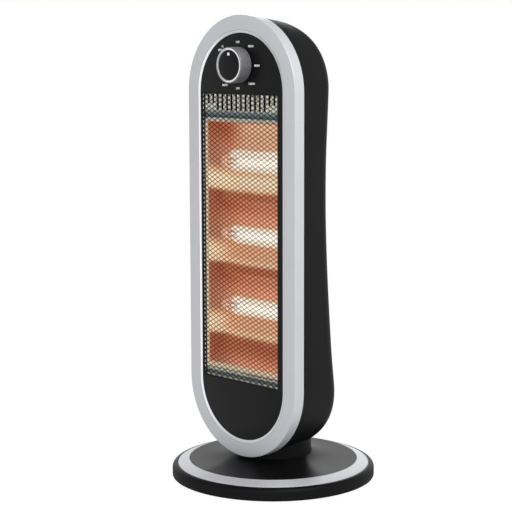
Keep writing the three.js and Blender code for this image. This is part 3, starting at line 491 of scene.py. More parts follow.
ring_line = [
    (ring_outer_edge, shoulder_top - ring_sheet),
    (ring_outer_edge, shoulder_top - 0.4 * mm),
    *[ring_face(0.02 + 0.96 * k / 10) for k in range(11)],
    (ring_inner_edge, ring_high.z - 0.4 * mm),
    (ring_inner_edge, ring_high.z - ring_sheet),
]
fitted(turned("base_ring", ring_line, 192), ring_silver, "base", "silver_paint", "base_trim_ring")

# ---------------------------------------------------------------- base plate, feet and screws
# The underside: a zinc-plated steel disc that closes the base, four cross-head screws up into the
# cover's bosses, and five rubber feet pressed on round it. Feet and screws repeat on circles.


class Pattern(Nodes):
    """A Geometry Nodes tree for what repeats, with a named input for each of its sizes."""

    sorts = {int: "NodeSocketInt", float: "NodeSocketFloat", tuple: "NodeSocketVector"}

    def __init__(self, name, finish=None, **sizes):
        super().__init__(bpy.data.node_groups.new(name, "GeometryNodeTree"))
        face = self.tree.interface
        face.new_socket(name="Geometry", in_out="OUTPUT", socket_type="NodeSocketGeometry")
        self.name = name
        self.finish = finish
        self.sizes = sizes
        self.sockets = {}
        for label, value in sizes.items():
            sort = self.sorts.get(type(value), "NodeSocketObject")
            self.sockets[label] = face.new_socket(name=label, in_out="INPUT", socket_type=sort)
        group = self.tree.nodes.new("NodeGroupInput")
        self.given = {label: Wire(self, group.outputs[label]) for label in sizes}

    def shape(self, label):
        """The mesh of an object that was given as an input."""
        return self.add("GeometryNodeObjectInfo", values=[self.given[label]], output="Geometry")

    def row(self, count, start, step):
        """Points at even steps along a line."""
        return self.add("GeometryNodeMeshLine", values=[count, start, step])

    def copies(self, points, shape, turn=(0, 0, 0)):
        """A shape copied to each point, and turned there."""
        sockets = {"Points": points, "Instance": shape, "Rotation": turn}
        return self.add("GeometryNodeInstanceOnPoints", values=sockets)

    def moved(self, shape, by=(0.0, 0.0, 0.0), turn=(0.0, 0.0, 0.0)):
        """A shape turned about the origin and then moved."""
        sockets = {"Geometry": shape, "Translation": by, "Rotation": turn}
        return self.add("GeometryNodeTransform", values=sockets)

    def vector(self, x=0.0, y=0.0, z=0.0):
        """Three numbers or wires as a vector."""
        return self.add("ShaderNodeCombineXYZ", values=[x, y, z])

    def made(self, geometry, used=()):
        """The finished mesh as an object of its own. Shapes that were only copied go."""
        real = self.add("GeometryNodeRealizeInstances", values=[geometry])
        if self.finish:
            real = self.add("GeometryNodeSetMaterial", values={"Geometry": real})
            real.socket.node.inputs["Material"].default_value = self.finish.material
        output = self.tree.nodes.new("NodeGroupOutput")
        self.tree.links.new(real.socket, output.inputs["Geometry"])
        holder = link(bpy.data.objects.new(self.name, bpy.data.meshes.new(self.name)))
        change = holder.modifiers.new("pattern", "NODES")
        change.node_group = self.tree
        for label, value in self.sizes.items():
            change[self.sockets[label].identifier] = value
        baked(holder, change)
        for thing in used:
            bpy.data.objects.remove(thing)
        return holder


def on_circle(name, finish, shape, count, radius, start):
    """Copies of a shape spaced evenly on a circle about the swing axis."""
    pattern = Pattern(name, finish, Shape=shape, Count=count, Radius=radius, Start=math.radians(start))
    given = pattern.given
    ring = pattern.add("GeometryNodeMeshCircle", values=[given["Count"], given["Radius"]])
    ring = pattern.moved(ring, turn=pattern.vector(z=given["Start"]))
    return pattern.made(pattern.copies(ring, pattern.shape("Shape")), used=[shape])


foot_radius = 9 * mm
foot_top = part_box("rubber_foot_1")[1].z
foot_circle = base_radius - 26 * mm
foot_line = [
    (0, 0.9 * mm),
    (foot_radius - 3.4 * mm, 0.9 * mm),
    (foot_radius - 2.6 * mm, 0.05 * mm),
    (foot_radius - 2.4 * mm, 0),
    (foot_radius - 0.7 * mm, 0),
    (foot_radius - 0.2 * mm, 0.2 * mm),
    (foot_radius, 0.7 * mm),
    (foot_radius, foot_top),
    (0, foot_top),
]

foot_rubber = coated(
    "black_rubber", (0.012, 0.012, 0.012), (0.028, 0.027, 0.026), (4 * mm, 5), (0.75, 0.15),
    grain=(0.4 * mm, 4), relief=0.03 * mm, specular=0.3,
)
feet = on_circle("rubber_feet", foot_rubber, turned("foot", foot_line, 40), 5, foot_circle, -90)
fitted(feet, foot_rubber, "base", "black_rubber", *[f"rubber_foot_{k}" for k in range(1, 6)])

zinc = coated(
    "zinc_plate", (0.42, 0.43, 0.43), (0.56, 0.57, 0.58), (30 * mm, 4), (0.3, 0.2),
    wear=(3 * mm, 3), relief=0.01 * mm, metallic=1.0,
)


def painted(finish, *names):
    """Gives modelled nodes that stay as they are their finish."""
    for name in names:
        for slot in nodes[name].material_slots:
            slot.material = finish.material


painted(zinc, "base_plate", "swing_plate")

screw_low, screw_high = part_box("base_screw_1")
screw_circle = math.hypot((screw_low.x + screw_high.x) / 2, (screw_low.y + screw_high.y) / 2)


def screw(name, head_radius, head_height, shank_radius, length, frame=Matrix()):
    """A pan-head screw pointing up from its head's face at height 0, with a cross recess."""
    head = [
        (0, 0),
        (head_radius * 0.55, 0.02 * head_height),
        (head_radius * 0.85, 0.16 * head_height),
        (head_radius, 0.5 * head_height),
        (head_radius, head_height),
    ]
    shank = [(shank_radius, head_height), (shank_radius, length - 1 * mm), (0, length)]
    made = turned(name, head + shank, 24, frame)
    for turn in (0, 90):
        half_long, half_wide, deep = head_radius * 0.55, head_radius * 0.12, head_height * 0.6
        corners = [
            frame @ Matrix.Rotation(math.radians(turn), 4, "Z") @ Vector((x, y, z))
            for x in (-half_long, half_long) for y in (-half_wide, half_wide) for z in (-1 * mm, deep)
        ]
        sides = [(0, 1, 3, 2), (4, 6, 7, 5), (0, 4, 5, 1), (2, 3, 7, 6), (0, 2, 6, 4), (1, 5, 7, 3)]
        combined(made, solid("recess", corners, sides))
    return made


screw_steel = coated(
    "zinc_screws", (0.45, 0.45, 0.44), (0.6, 0.6, 0.58), (1.5 * mm, 3), (0.25, 0.2),
    grain=(0.3 * mm, 2), relief=0.01 * mm, metallic=1.0,
)
screw_head = 3.2 * mm
screw_shank = 1.6 * mm
base_screw = screw(
    "screw", screw_head, 1.8 * mm, screw_shank, screw_high.z - screw_low.z,
    Matrix.Translation((0, 0, screw_low.z)),
)
base_screws = on_circle("base_screws", screw_steel, base_screw, 4, screw_circle, 45)
fitted(base_screws, screw_steel, "base", "plain_steel", *[f"base_screw_{k}" for k in range(1, 5)])

# ---------------------------------------------------------------- cord gland
# A ribbed rubber bush that the mains cord comes out through, low in the back of the base. It is
# held by its flange, inside the cover's skirt.
gland_bore_radius = 3.4 * mm
gland_neck = gland_low.y + 2 * mm
gland_line = [(gland_bore_radius, gland_low.y), (gland_high.x - 0.4 * mm, gland_low.y)]
gland_line += [(gland_high.x, gland_low.y + 0.4 * mm), (gland_high.x, gland_neck)]
gland_line += [(gland_radius, gland_neck)]
for k in range(3):
    rib = gland_neck + (1.4 + 2.2 * k) * mm
    gland_line += [(gland_radius, rib), (gland_radius - 0.6 * mm, rib + 0.3 * mm)]
    gland_line += [(gland_radius - 0.6 * mm, rib + 1.1 * mm), (gland_radius, rib + 1.4 * mm)]
gland_line += [(gland_radius, gland_high.y - 0.5 * mm), (gland_radius - 0.4 * mm, gland_high.y)]
gland_line += [(gland_bore_radius + 0.3 * mm, gland_high.y), (gland_bore_radius, gland_high.y - 0.3 * mm)]
fitted(
    turned("ribbed_gland", gland_line, 40, gland_place), foot_rubber, "base", "black_rubber", "cord_gland"
)

# ---------------------------------------------------------------- ballast and tip-over switch
# Inside the base: a cast iron ring for weight, and a switch that cuts the current when the heater is
# lifted or falls, worked by a nylon plunger that rests on the floor, with its spring.
cast_iron = coated(
    "cast_iron", (0.03, 0.03, 0.032), (0.07, 0.068, 0.066), (2.5 * mm, 6), (0.6, 0.25),
    relief=0.25 * mm, metallic=0.6,
)
painted(cast_iron, "ballast_weight")

switch_plastic = coated(
    "black_phenolic", (0.012, 0.012, 0.013), (0.02, 0.02, 0.021), (0.8 * mm, 4), (0.4, 0.15),
    relief=0.02 * mm, specular=0.4,
)
painted(switch_plastic, "tip_switch")

nylon = coated(
    "white_nylon", (0.6, 0.58, 0.52), (0.72, 0.7, 0.64), (9 * mm, 3), (0.42, 0.12),
    grain=(0.7 * mm, 2), relief=0.01 * mm, specular=0.4,
)
painted(nylon, "tip_plunger", "swing_bush", "terminal_block", "rotary_switch")

spring_steel = coated(
    "spring_steel", (0.3, 0.3, 0.3), (0.5, 0.5, 0.5), (0.6 * mm, 4), (0.25, 0.2), metallic=1.0
)
painted(spring_steel, "tip_spring")

# ---------------------------------------------------------------- swing bearing and drive
# A hollow steel spindle stands on the base. The head's plate turns on it, on a nylon bush under a
# washer and nut, and a small geared motor on the plate swings it by a crank and a link to a pin.
turned_steel = coated(
    "turned_steel", (0.38, 0.38, 0.38), (0.55, 0.55, 0.54), (0.5 * mm, 2, (8, 8, 1)), (0.22, 0.2),
    relief=0.01 * mm, metallic=1.0,
)
painted(turned_steel, "spindle", "thrust_washer", "spindle_nut", "link_pin", "crank_disc", "swing_link")
painted(zinc, "swing_motor")

loom_sheath = coated(
    "loom_sheath", (0.02, 0.024, 0.03), (0.04, 0.045, 0.052), (12 * mm, 4), (0.45, 0.2),
    grain=(1 * mm, 4), relief=0.03 * mm, specular=0.35,
)
painted(loom_sheath, "supply_loom")

# ---------------------------------------------------------------- rear casing
# The black shell of the head: one satin ABS moulding, pinched at the waist and fuller at the foot,
# vented low and high in the back. Its front edge has a spigot that plugs into the bezel.
bezel_low, bezel_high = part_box("front_bezel")
casing_low, casing_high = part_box("rear_casing")
head_radius = bezel_high.x
head_bottom = bezel_low.z
head_length = bezel_high.z - bezel_low.z
lower_arc = head_bottom + head_radius
upper_arc = bezel_high.z - head_radius
casing_radius = casing_high.x
casing_wall = 2.5 * mm
casing_corner = 24 * mm
bezel_wall = 2.6 * mm
casing_front = bezel_high.y + fit_gap
spigot_front = casing_low.y
top_ease = 0.9
bottom_ease = 0.3
back_stations = [(0, 33), (0.09, 38.5), (0.26, 28.4), (0.48, 19.5), (0.66, 17.8), (0.93, 23), (1, 4)]


def smooth_line(points, steps):
    """A curve through evenly weighted points, as that many short steps between each two."""
    line = []
    for i in range(len(points) - 1):
        near, far = points[max(i - 1, 0)], points[min(i + 2, len(points) - 1)]
        here, there = points[i], points[i + 1]
        leaving, arriving = (there - near) / 2, (far - here) / 2
        for k in range(steps + (i == len(points) - 2)):
            t = k / steps
            line.append(
                here * (2 * t**3 - 3 * t**2 + 1) + leaving * (t**3 - 2 * t**2 + t)
                + there * (3 * t**2 - 2 * t**3) + arriving * (t**3 - t**2)
            )
    return line


back_line = smooth_line(
    [Vector((head_bottom + share * head_length, depth * mm)) for share, depth in back_stations], 40
)


def back_at(height):
    """How far behind the swing axis the casing's back lies at a height."""
    for before, after in zip(back_line, back_line[1:]):
        if before.x <= height <= after.x:
            return before.y + (after.y - before.y) * (height - before.x) / (after.x - before.x)
    return back_line[0].y if height < back_line[0].x else back_line[-1].y


def head_loop(inset, top=1.0, bottom=1.0, bend=28, sides=36):
    """The head's round-ended outline, moved in from the casing's: (x, z) from the top, clockwise."""
    side = casing_radius - inset
    right = []
    for k in range(bend + 1):
        turn = math.pi / 2 * (1 - k / bend)
        rise = (casing_radius - inset * top) * math.sin(turn)
        right.append((side * math.cos(turn), upper_arc + rise))
    for k in range(1, sides):
        right.append((side, upper_arc + (lower_arc - upper_arc) * k / sides))
    for k in range(bend + 1):
        turn = -math.pi / 2 * k / bend
        drop = (casing_radius - inset * bottom) * math.sin(turn)
        right.append((side * math.cos(turn), lower_arc + drop))
    right[0] = (0.0, right[0][1])
    right[-1] = (0.0, right[-1][1])
    return right + [(-x, z) for x, z in reversed(right[1:-1])]


def casing_loops(inwards, front, steps=14, tapers=8):
    """The casing's outside from its front edge to its flat back, moved inwards by a distance."""
    loops = []

    def loop_at(inset, share, beyond):
        """A loop at a share of the way from the front to where the corner starts, and beyond that."""
        outline = head_loop(inset + inwards, top_ease, bottom_ease)
        corner_starts = [back_at(z) - inwards - casing_corner for _, z in outline]
        return [
            (x, beyond + front + (start - front) * share, z) for (x, z), start in zip(outline, corner_starts)
        ]

    for k in range(tapers):
        share = k / tapers
        loops.append(loop_at((2.4 * share + 1.6 * share**2) * mm, share, 0))
    for k in range(steps + 1):
        turn = math.pi / 2 * k / steps
        inset = 4 * mm + casing_corner * (1 - math.cos(turn))
        loops.append(loop_at(inset, 1, casing_corner * math.sin(turn)))
    return loops


def skinned(name, loops, closed=False):
    """A skin over loops of equal length. Its ends close from left to right, or join each other."""
    count = len(loops[0])
    corners = [corner for loop in loops for corner in loop]
    faces = []
    for k in range(len(loops) if closed else len(loops) - 1):
        near, far = k * count, (k + 1) % len(loops) * count
        for i in range(count):
            j = (i + 1) % count
            faces.append((near + i, near + j, far + j, far + i))
    for start in () if closed else (0, (len(loops) - 1) * count):
        for i in range(count // 2):
            strip = [start + k for k in (i, i + 1, count - i - 1, (count - i) % count)]
            faces.append(tuple(dict.fromkeys(strip)))
    return solid(name, corners, faces)


def flat_loop(radius, depth):
    """The head's outline at a radius, flat at one depth."""
    return [(x, depth, z) for x, z in head_loop(casing_radius - radius)]


spigot_radius = head_radius - bezel_wall - fit_gap
spigot_wall = 2 * mm
rear_shell = skinned(
    "rear_shell",
    [
        *reversed(casing_loops(casing_wall, casing_front + casing_wall, steps=6, tapers=4)),
        flat_loop(spigot_radius - spigot_wall, casing_front + casing_wall),
        flat_loop(spigot_radius - spigot_wall, spigot_front),
        flat_loop(spigot_radius, spigot_front),
        flat_loop(spigot_radius, casing_front),
        flat_loop(casing_radius - 0.5 * mm, casing_front),
        flat_loop(casing_radius, casing_front + 0.5 * mm),
        *casing_loops(0, casing_front)[1:],
    ],
)

vent_half_width = 32 * mm
vent_height = 3.6 * mm
vent_pitch = 9 * mm
vent_rows = 7
vent_rise = 60 * mm


def vent_cutter(middle):
    """Seven rounded slots, one above another, as a tool that cuts them out of the back."""
    pattern = Pattern(
        "vent_slots", None, Width=2 * vent_half_width, Height=vent_height, Pitch=vent_pitch, Rows=vent_rows,
        Lowest=(0.0, 0.0, middle - (vent_rows - 1) / 2 * vent_pitch), Depth=44 * mm,
    )
    given = pattern.given
    slot_shape = pattern.add(
        "GeometryNodeCurvePrimitiveQuadrilateral", values={"Width": given["Width"], "Height": given["Height"]}
    )
    slot_shape = pattern.add("GeometryNodeFilletCurve", {"mode": "POLY"}, {
        "Curve": slot_shape, "Radius": given["Height"] * 0.49, "Count": 5,
    })
    slot_face = pattern.add("GeometryNodeFillCurve", {"mode": "NGONS"}, {"Curve": slot_shape})
    cutter = pattern.add("GeometryNodeExtrudeMesh", values={
        "Mesh": slot_face, "Offset": pattern.vector(z=1.0), "Offset Scale": given["Depth"],
        "Individual": False,
    })
    whole = pattern.add("GeometryNodeJoinGeometry")
    flipped = pattern.add("GeometryNodeFlipFaces", values={"Mesh": slot_face})
    pattern.tree.links.new(cutter.socket, whole.socket.node.inputs[0])
    pattern.tree.links.new(flipped.socket, whole.socket.node.inputs[0])
    whole = pattern.add("GeometryNodeMergeByDistance", values={"Geometry": whole, "Distance": 2e-6})
    upward = pattern.vector(z=given["Pitch"])
    rows = pattern.row(given["Rows"], given["Lowest"], upward)
    return pattern.made(pattern.copies(rows, whole, turn=(math.radians(-90), 0.0, 0.0)))


for middle in (lower_arc + vent_rise, upper_arc - vent_rise):
    combined(rear_shell, vent_cutter(middle))

screw_spots = []
for number in range(1, 5):
    low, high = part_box(f"casing_screw_{number}")
    screw_spots.append(((low.x + high.x) / 2, (low.z + high.z) / 2))
casing_screw_low, casing_screw_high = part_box("casing_screw_1")
screw_seat = casing_screw_high.y - 2.7 * mm
pillar_front = screw_seat - 3 * mm
pillar_radius = 5.5 * mm
screw_well_radius = 3.5 * mm
pilot_radius = 1.9 * mm

for x, z in screw_spots:
    back = back_at(z)
    place = Matrix.Translation((x, 0, z)) @ along_y
    pillar = rod(pillar_radius, pillar_front, back - 1.2 * mm)
    combined(rear_shell, turned("pillar", pillar, 32, place), "UNION")
    well = [(0, pillar_front - 1 * mm), (pilot_radius, pillar_front - 1 * mm), (pilot_radius, screw_seat)]
    well += [(screw_well_radius, screw_seat), (screw_well_radius, back + 4 * mm), (0, back + 4 * mm)]
    combined(rear_shell, turned("screw_well", well, 32, place))

collar_inner = 36 * mm
collar_top = 66 * mm
combined(rear_shell, turned("neck_well", rod(collar_inner, 0, collar_top), 96))

satin_black = coated(
    "satin_black_abs", (0.0045, 0.0045, 0.0048), (0.0065, 0.0065, 0.0068), (60 * mm, 2), (0.52, 0.1),
    wear=(0.55 * mm, 3), relief=0.03 * mm, specular=0.1,
)
fitted(rear_shell, satin_black, "head", "casing_black", "rear_casing")

# ---------------------------------------------------------------- casing screws
# Four zinc-plated cross-head screws, deep in wells in the back, that draw the casing to the panel.
# They are alike, so one is made and copied to the four places.


def at_four_corners(name, finish, shape, middle, spread):
    """Copies of a shape at the corners of an upright rectangle."""
    pattern = Pattern(name, finish, Shape=shape, Middle=middle, Width=spread[0], Height=spread[1])
    given = pattern.given
    grid = pattern.add("GeometryNodeMeshGrid", values={
        "Size X": given["Width"], "Size Y": given["Height"], "Vertices X": 2, "Vertices Y": 2,
    })
    stood = pattern.moved(grid, given["Middle"], (math.radians(90), 0.0, 0.0))
    return pattern.made(pattern.copies(stood, pattern.shape("Shape")), used=[shape])


across = [x for x, z in screw_spots]
heights = [z for x, z in screw_spots]
screw_length = casing_screw_high.y - casing_screw_low.y
facing_back = Matrix.Translation((0, casing_screw_high.y, 0)) @ upright
casing_screws = at_four_corners(
    "casing_screws", screw_steel,
    screw("screw", screw_head, 2.4 * mm, screw_shank, screw_length, facing_back),
    (0.0, 0.0, (max(heights) + min(heights)) / 2),
    (max(across) - min(across), max(heights) - min(heights)),
)
fitted(
    casing_screws, screw_steel, "head", "plain_steel", *[f"casing_screw_{number}" for number in range(1, 5)]
)

# ---------------------------------------------------------------- neck collar
# The short black drum under the head, that turns in the base's well and hides the bearing. The
# head's own outline is cut out of its top, so that the two meet all round.
collar_radius = collar_high.x
collar_floor = collar_low.z
collar_skirt = deck_top + fit_gap
collar_shoulder = 11 * mm
collar_wall = 3 * mm
shoulder_centre = (collar_radius - collar_shoulder, collar_top - collar_shoulder)
inside_shoulder = quarter(shoulder_centre, collar_shoulder - collar_wall, collar_shoulder - collar_wall, 6)
collar_line = [
    (collar_inner, collar_floor),
    (collar_radius - collar_wall, collar_floor),
    (collar_radius - collar_wall, collar_skirt),
    (collar_radius - 0.5 * mm, collar_skirt),
    (collar_radius, collar_skirt + 0.5 * mm),
    *quarter(shoulder_centre, collar_shoulder, collar_shoulder, 16),
    (0, collar_top),
    (0, collar_top - collar_wall),
    *reversed(inside_shoulder),
    (collar_radius - collar_wall, collar_floor + 2.1 * mm),
    (collar_inner, collar_floor + 2.1 * mm),
]
neck = turned("neck_drum", collar_line, 128)
bezel_front = bezel_low.y
head_tool = skinned("head_tool", [
    flat_loop(head_radius + fit_gap, bezel_front - fit_gap),
    flat_loop(head_radius + fit_gap, casing_front),
    *casing_loops(-fit_gap, casing_front + 0.01 * mm),
])
combined(neck, head_tool)
fitted(neck, satin_black, "head", "casing_black", "neck_collar")

# ---------------------------------------------------------------- front bezel
# The silver-painted ring round the whole front. It is a shallow channel: an outer wall over the
# casing's spigot, a flat face, and behind a fine groove a lip that falls to the panel. The groove is
# painted grey as shade, and the lip painted white on the left as a highlight, greyer to the right as shade.
face_width = 21.75 * mm
face_back = bezel_front + 3.4 * mm
edge_round = 1 * mm
groove = 0.3 * mm
lip_width = 3.4 * mm
lip_depth = 0.9 * mm

outer_edge = [
    (edge_round * (1 - math.cos(t)), bezel_front + edge_round * (1 - math.sin(t)))
    for t in [math.pi / 2 * k / 8 for k in range(9)]
]
bezel_section = [
    (0.3 * mm, bezel_high.y),
    (0, bezel_high.y - 0.3 * mm),
    *outer_edge,
    (face_width - lip_width - groove, bezel_front),
    (face_width - lip_width - 0.9 * groove, bezel_front + groove),
    (face_width - lip_width - 0.1 * groove, bezel_front + groove),
    (face_width - lip_width, bezel_front + 0.05 * mm),
    *[
        (face_width - lip_width * math.cos(t), bezel_front + 0.05 * mm + lip_depth * (1 - math.cos(t)))
        for t in [math.pi / 2 * k / 8 for k in range(1, 9)]
    ],
    (face_width, face_back),
    (bezel_wall, face_back),
    (bezel_wall, bezel_high.y),
]
silver_light = (0.53, 0.535, 0.55)
silver_dark = (0.49, 0.495, 0.51)
# The groove's grey is painted shade; the lip's white is a painted highlight and its grey painted shade.
groove_shade_grey = (0.3, 0.3, 0.31)
lip_highlight_white = (0.92, 0.92, 0.93)
lip_shade_grey = (0.6, 0.605, 0.62)
bezel_silver = Finish("bezel_silver", metallic=0.25, specular=0.4)
bezel_flakes = bezel_silver.noise(0.5 * mm, detail=4)
bezel_haze = bezel_silver.noise(40 * mm)
past_bend = bezel_silver.maths("MAXIMUM", bezel_silver.z - upper_arc, lower_arc - bezel_silver.z)
from_middle = bezel_silver.length(bezel_silver.x, bezel_silver.maths("MAXIMUM", past_bend, 0.0))
lip_start = head_radius - face_width + lip_width
on_lip = 1 - from_middle.rise(lip_start - 0.3 * mm, lip_start)
in_groove = from_middle.band(lip_start, lip_start + groove, 0.1 * mm)
# Painted light on the lip: white on the left as a highlight, greyer to the right as shade.
lip_painted_light = bezel_silver.mix(bezel_silver.x.rise(-72 * mm, -20 * mm), lip_highlight_white, lip_shade_grey)
flat_silver = bezel_silver.mix(0.6 * bezel_flakes + 0.4 * bezel_haze, silver_dark, silver_light)
bezel_silver.surface(
    base_color=bezel_silver.mix(in_groove, bezel_silver.mix(on_lip, flat_silver, lip_painted_light), groove_shade_grey),
    roughness=0.36 + 0.12 * bezel_flakes - 0.16 * on_lip,
    normal=bezel_silver.relief(bezel_flakes, 0.008 * mm),
)

bezel = skinned("bezel", [flat_loop(head_radius - inset, y) for inset, y in bezel_section], closed=True)
fitted(bezel, bezel_silver, "head", "silver_paint", "front_bezel", sharp=25)

# ---------------------------------------------------------------- front panel
# The satin black panel sunk inside the bezel, with its window and the knob's hole. A flange behind
# the bezel holds it, and four bosses on its back take the casing's screws.


def plate(name, outlines, front, back, ease, resolution=3):
    """A plate seen from the front, with eased edges: its outline, then any holes, as (x, z)."""
    curve = bpy.data.curves.new(name, "CURVE")
    curve.dimensions = "2D"
    curve.fill_mode = "BOTH"
    curve.extrude = (back - front) / 2 - ease
    curve.bevel_depth = ease
    curve.bevel_resolution = resolution
    curve.offset = -ease
    for outline in outlines:
        spline = curve.splines.new("POLY")
        spline.points.add(len(outline) - 1)
        for point, (x, z) in zip(spline.points, outline):
            point.co = (x, z, 0, 1)
        spline.use_cyclic_u = True
    drawn = link(bpy.data.objects.new(name, curve))
    mesh = baked(drawn)
    mesh.transform(Matrix.Translation((0, (front + back) / 2, 0)) @ upright)
    corners = [corner.co.copy() for corner in mesh.vertices]
    faces = [tuple(face.vertices) for face in mesh.polygons]
    bpy.data.objects.remove(drawn)
    return solid(name, corners, faces)


def round_hole(centre, radius, facets=48):
    """A circle's points about a centre (x, z)."""
    turns = [2 * math.pi * k / facets for k in range(facets)]
    return [(centre[0] + radius * math.cos(t), centre[1] + radius * math.sin(t)) for t in turns]


def box_outline(left, bottom, right, top, corner=0.0, steps=4):
    """An upright rectangle's points, with rounded corners if a corner radius is given."""
    if not corner:
        return [(left, bottom), (right, bottom), (right, top), (left, top)]
    points = []
    for x, z, start in (
        (right - corner, top - corner, 0), (left + corner, top - corner, 90),
        (left + corner, bottom + corner, 180), (right - corner, bottom + corner, 270),
    ):
        for k in range(steps + 1):
            turn = math.radians(start + 90 * k / steps)
            points.append((x + corner * math.cos(turn), z + corner * math.sin(turn)))
    return points


panel_low, panel_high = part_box("front_panel")
guard_low, guard_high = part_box("guard_mesh")
knob_low, knob_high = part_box("knob_sleeve")
panel_front = bezel_front + 0.4 * mm
panel_radius = head_radius - face_width - fit_gap
flange_radius = panel_high.x
flange_back = face_back + fit_gap + 2 * mm
window = (
    guard_low.x - fit_gap, guard_low.z - fit_gap, guard_high.x + fit_gap, guard_high.z + fit_gap
)
knob_height = (knob_low.z + knob_high.z) / 2
boss_radius = 4.5 * mm
pilot_depth = 18 * mm
boss_end = panel_high.y

panel_outline = [(x, z) for x, _, z in flat_loop(panel_radius, 0)]
flange_outline = [(x, z) for x, _, z in flat_loop(flange_radius, 0)]
openings = [box_outline(*window, corner=1.2 * mm), round_hole((0, knob_height), 4 * mm)]
panel = plate("panel_plate", [panel_outline, *openings], panel_front, flange_back, 0.35 * mm)
flange = plate("panel_flange", [flange_outline, *openings], face_back + fit_gap, flange_back, 0.2 * mm)
combined(panel, flange, "UNION")
for x, z in screw_spots:
    place = Matrix.Translation((x, 0, z)) @ along_y
    boss = rod(boss_radius, flange_back - 1 * mm, boss_end)
    pilot = rod(pilot_radius, boss_end - pilot_depth, boss_end + 1 * mm)
    combined(panel, turned("boss", boss, 32, place), "UNION")
    combined(panel, turned("pilot", pilot, 24, place))

panel_black = coated(
    "panel_black", (0.0035, 0.0035, 0.0038), (0.0055, 0.0055, 0.0058), (45 * mm, 2), (0.3, 0.08),
    wear=(0.35 * mm, 3), relief=0.012 * mm, specular=0.12,
)
fitted(panel, panel_black, "head", "panel_black", "front_panel")

# ---------------------------------------------------------------- dial markings
# The words and numbers round the knob, pad-printed in pale grey ink on the panel.
ink_height = 2.5 * mm
ink_lift = 0.04 * mm
dial_marks = [
    ("OFF", -4.0, 554.7), ("400W", 18.9, 549.7), ("800W", 29.5, 526.4), ("1200W", 20.2, 504.4),
    ("OFF", -4.2, 498.3), ("800W", -27.0, 502.0), ("12", -31.3, 549.4), ("00W", -35.2, 545.0),
]
ink = coated("pale_ink", (0.8, 0.8, 0.8), (0.92, 0.92, 0.92), (0.15 * mm, 2), (0.55, 0.1), specular=0.3)


def lettering(name, words, middle, depth, height):
    """Flat words that face the front, centred on a middle (x, z), as a mesh."""
    text = bpy.data.curves.new(name, "FONT")
    text.body = words
    text.size = height / 0.7
    text.align_x = "CENTER"
    text.align_y = "CENTER"
    text.extrude = 0.02 * mm
    text.offset = 0.12 * mm
    text.space_character = 1.05
    text.resolution_u = 3
    written = link(bpy.data.objects.new(name, text))
    mesh = baked(written)
    bpy.data.objects.remove(written)
    mesh.transform(Matrix.Translation((middle[0], depth, middle[1])) @ upright)
    return mesh


print_layer = bmesh.new()
for words, x, z in dial_marks:
    print_layer.from_mesh(lettering("mark", words, (x * mm, z * mm), panel_front - ink_lift, ink_height))
printed = link(bpy.data.objects.new("dial_print", bpy.data.meshes.new("dial_print")))
print_layer.to_mesh(printed.data)
print_layer.free()
fitted(printed, ink, "head", "panel_black")

# ---------------------------------------------------------------- knob
# A silver-painted sleeve round a black face that stands a little inside its mouth, on the switch's
# shaft. A pale rectangle printed on the face points to the setting. The sleeve's rim is painted white
# on the right as a highlight and grey on the left as shade, and its side is painted darker as shade.
knob_radius = knob_high.x
knob_wall = 3.7 * mm
knob_front = knob_low.y
knob_back = knob_high.y
face_low, face_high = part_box("knob_face")
face_radius = face_high.x
knob_web = face_high.y + fit_gap
knob_centre = Matrix.Translation((0, 0, knob_height)) @ along_y
rim_middle = knob_radius - knob_wall / 2
rim_rise = 1.5 * mm
sleeve_line = [
    (3.3 * mm, knob_web),
    (knob_radius - knob_wall, knob_web),
    *[
        (rim_middle - knob_wall / 2 * math.cos(t), knob_front + rim_rise * (1 - math.sin(t)))
        for t in [math.pi * k / 16 for k in range(17)]
    ],
    (knob_radius, knob_back - 0.4 * mm),
    (knob_radius - 0.4 * mm, knob_back),
    (knob_radius - knob_wall + 0.6 * mm, knob_back),
    (knob_radius - knob_wall + 0.6 * mm, knob_web + 3 * mm),
    (7 * mm, knob_web + 3 * mm),
    (7 * mm, knob_back),
    (3.3 * mm, knob_back),
]
brushed_silver = Finish("brushed_silver", metallic=0.4, specular=0.4)
brush_marks = brushed_silver.noise(0.5 * mm, detail=3, stretch=(1, 12, 1))
from_axis = brushed_silver.length(brushed_silver.x, brushed_silver.z - knob_height)
behind_rim = from_axis.rise(rim_middle + 0.3 * mm, rim_middle + 0.8 * mm)
# Painted light: the rim is white on the right as a highlight and grey on the left as shade; the side is
# painted darker as shade, with brush marks.
rim_light_and_shade = brushed_silver.mix(brushed_silver.x.rise(-18 * mm, 8 * mm), (0.4, 0.4, 0.41), (0.9, 0.9, 0.91))
brushed_side_shade = brushed_silver.mix(brush_marks, (0.14, 0.14, 0.145), (0.21, 0.21, 0.22))
brushed_silver.surface(
    base_color=brushed_silver.mix(behind_rim, rim_light_and_shade, brushed_side_shade),
    roughness=0.34 + 0.14 * brush_marks,
    normal=brushed_silver.relief(brush_marks, 0.01 * mm),
)

sleeve = turned("knob_tube", sleeve_line, 96, knob_centre)
fitted(sleeve, brushed_silver, "knob", "silver_paint", "knob_sleeve", sharp=28)

face_line = [
    (0, face_low.y),
    (face_radius - 0.7 * mm, face_low.y),
    (face_radius - 0.2 * mm, face_low.y + 0.15 * mm),
    (face_radius, face_low.y + 0.6 * mm),
    (face_radius, face_high.y),
    (0, face_high.y),
]
fitted(turned("knob_disc", face_line, 96, knob_centre), panel_black, "knob", "panel_black", "knob_face")

pointer_rise = 13.4 * mm
pointer_low = knob_height + pointer_rise - 1.6 * mm
pointer_outline = box_outline(-1.9 * mm, pointer_low, 1.9 * mm, pointer_low + 3.2 * mm, corner=0.4 * mm)
pointer = plate("knob_pointer", [pointer_outline], face_low.y - 0.06 * mm, face_low.y + 0.04 * mm, 0.02 * mm)
fitted(pointer, ink, "knob", "panel_black")
painted(turned_steel, "switch_shaft")

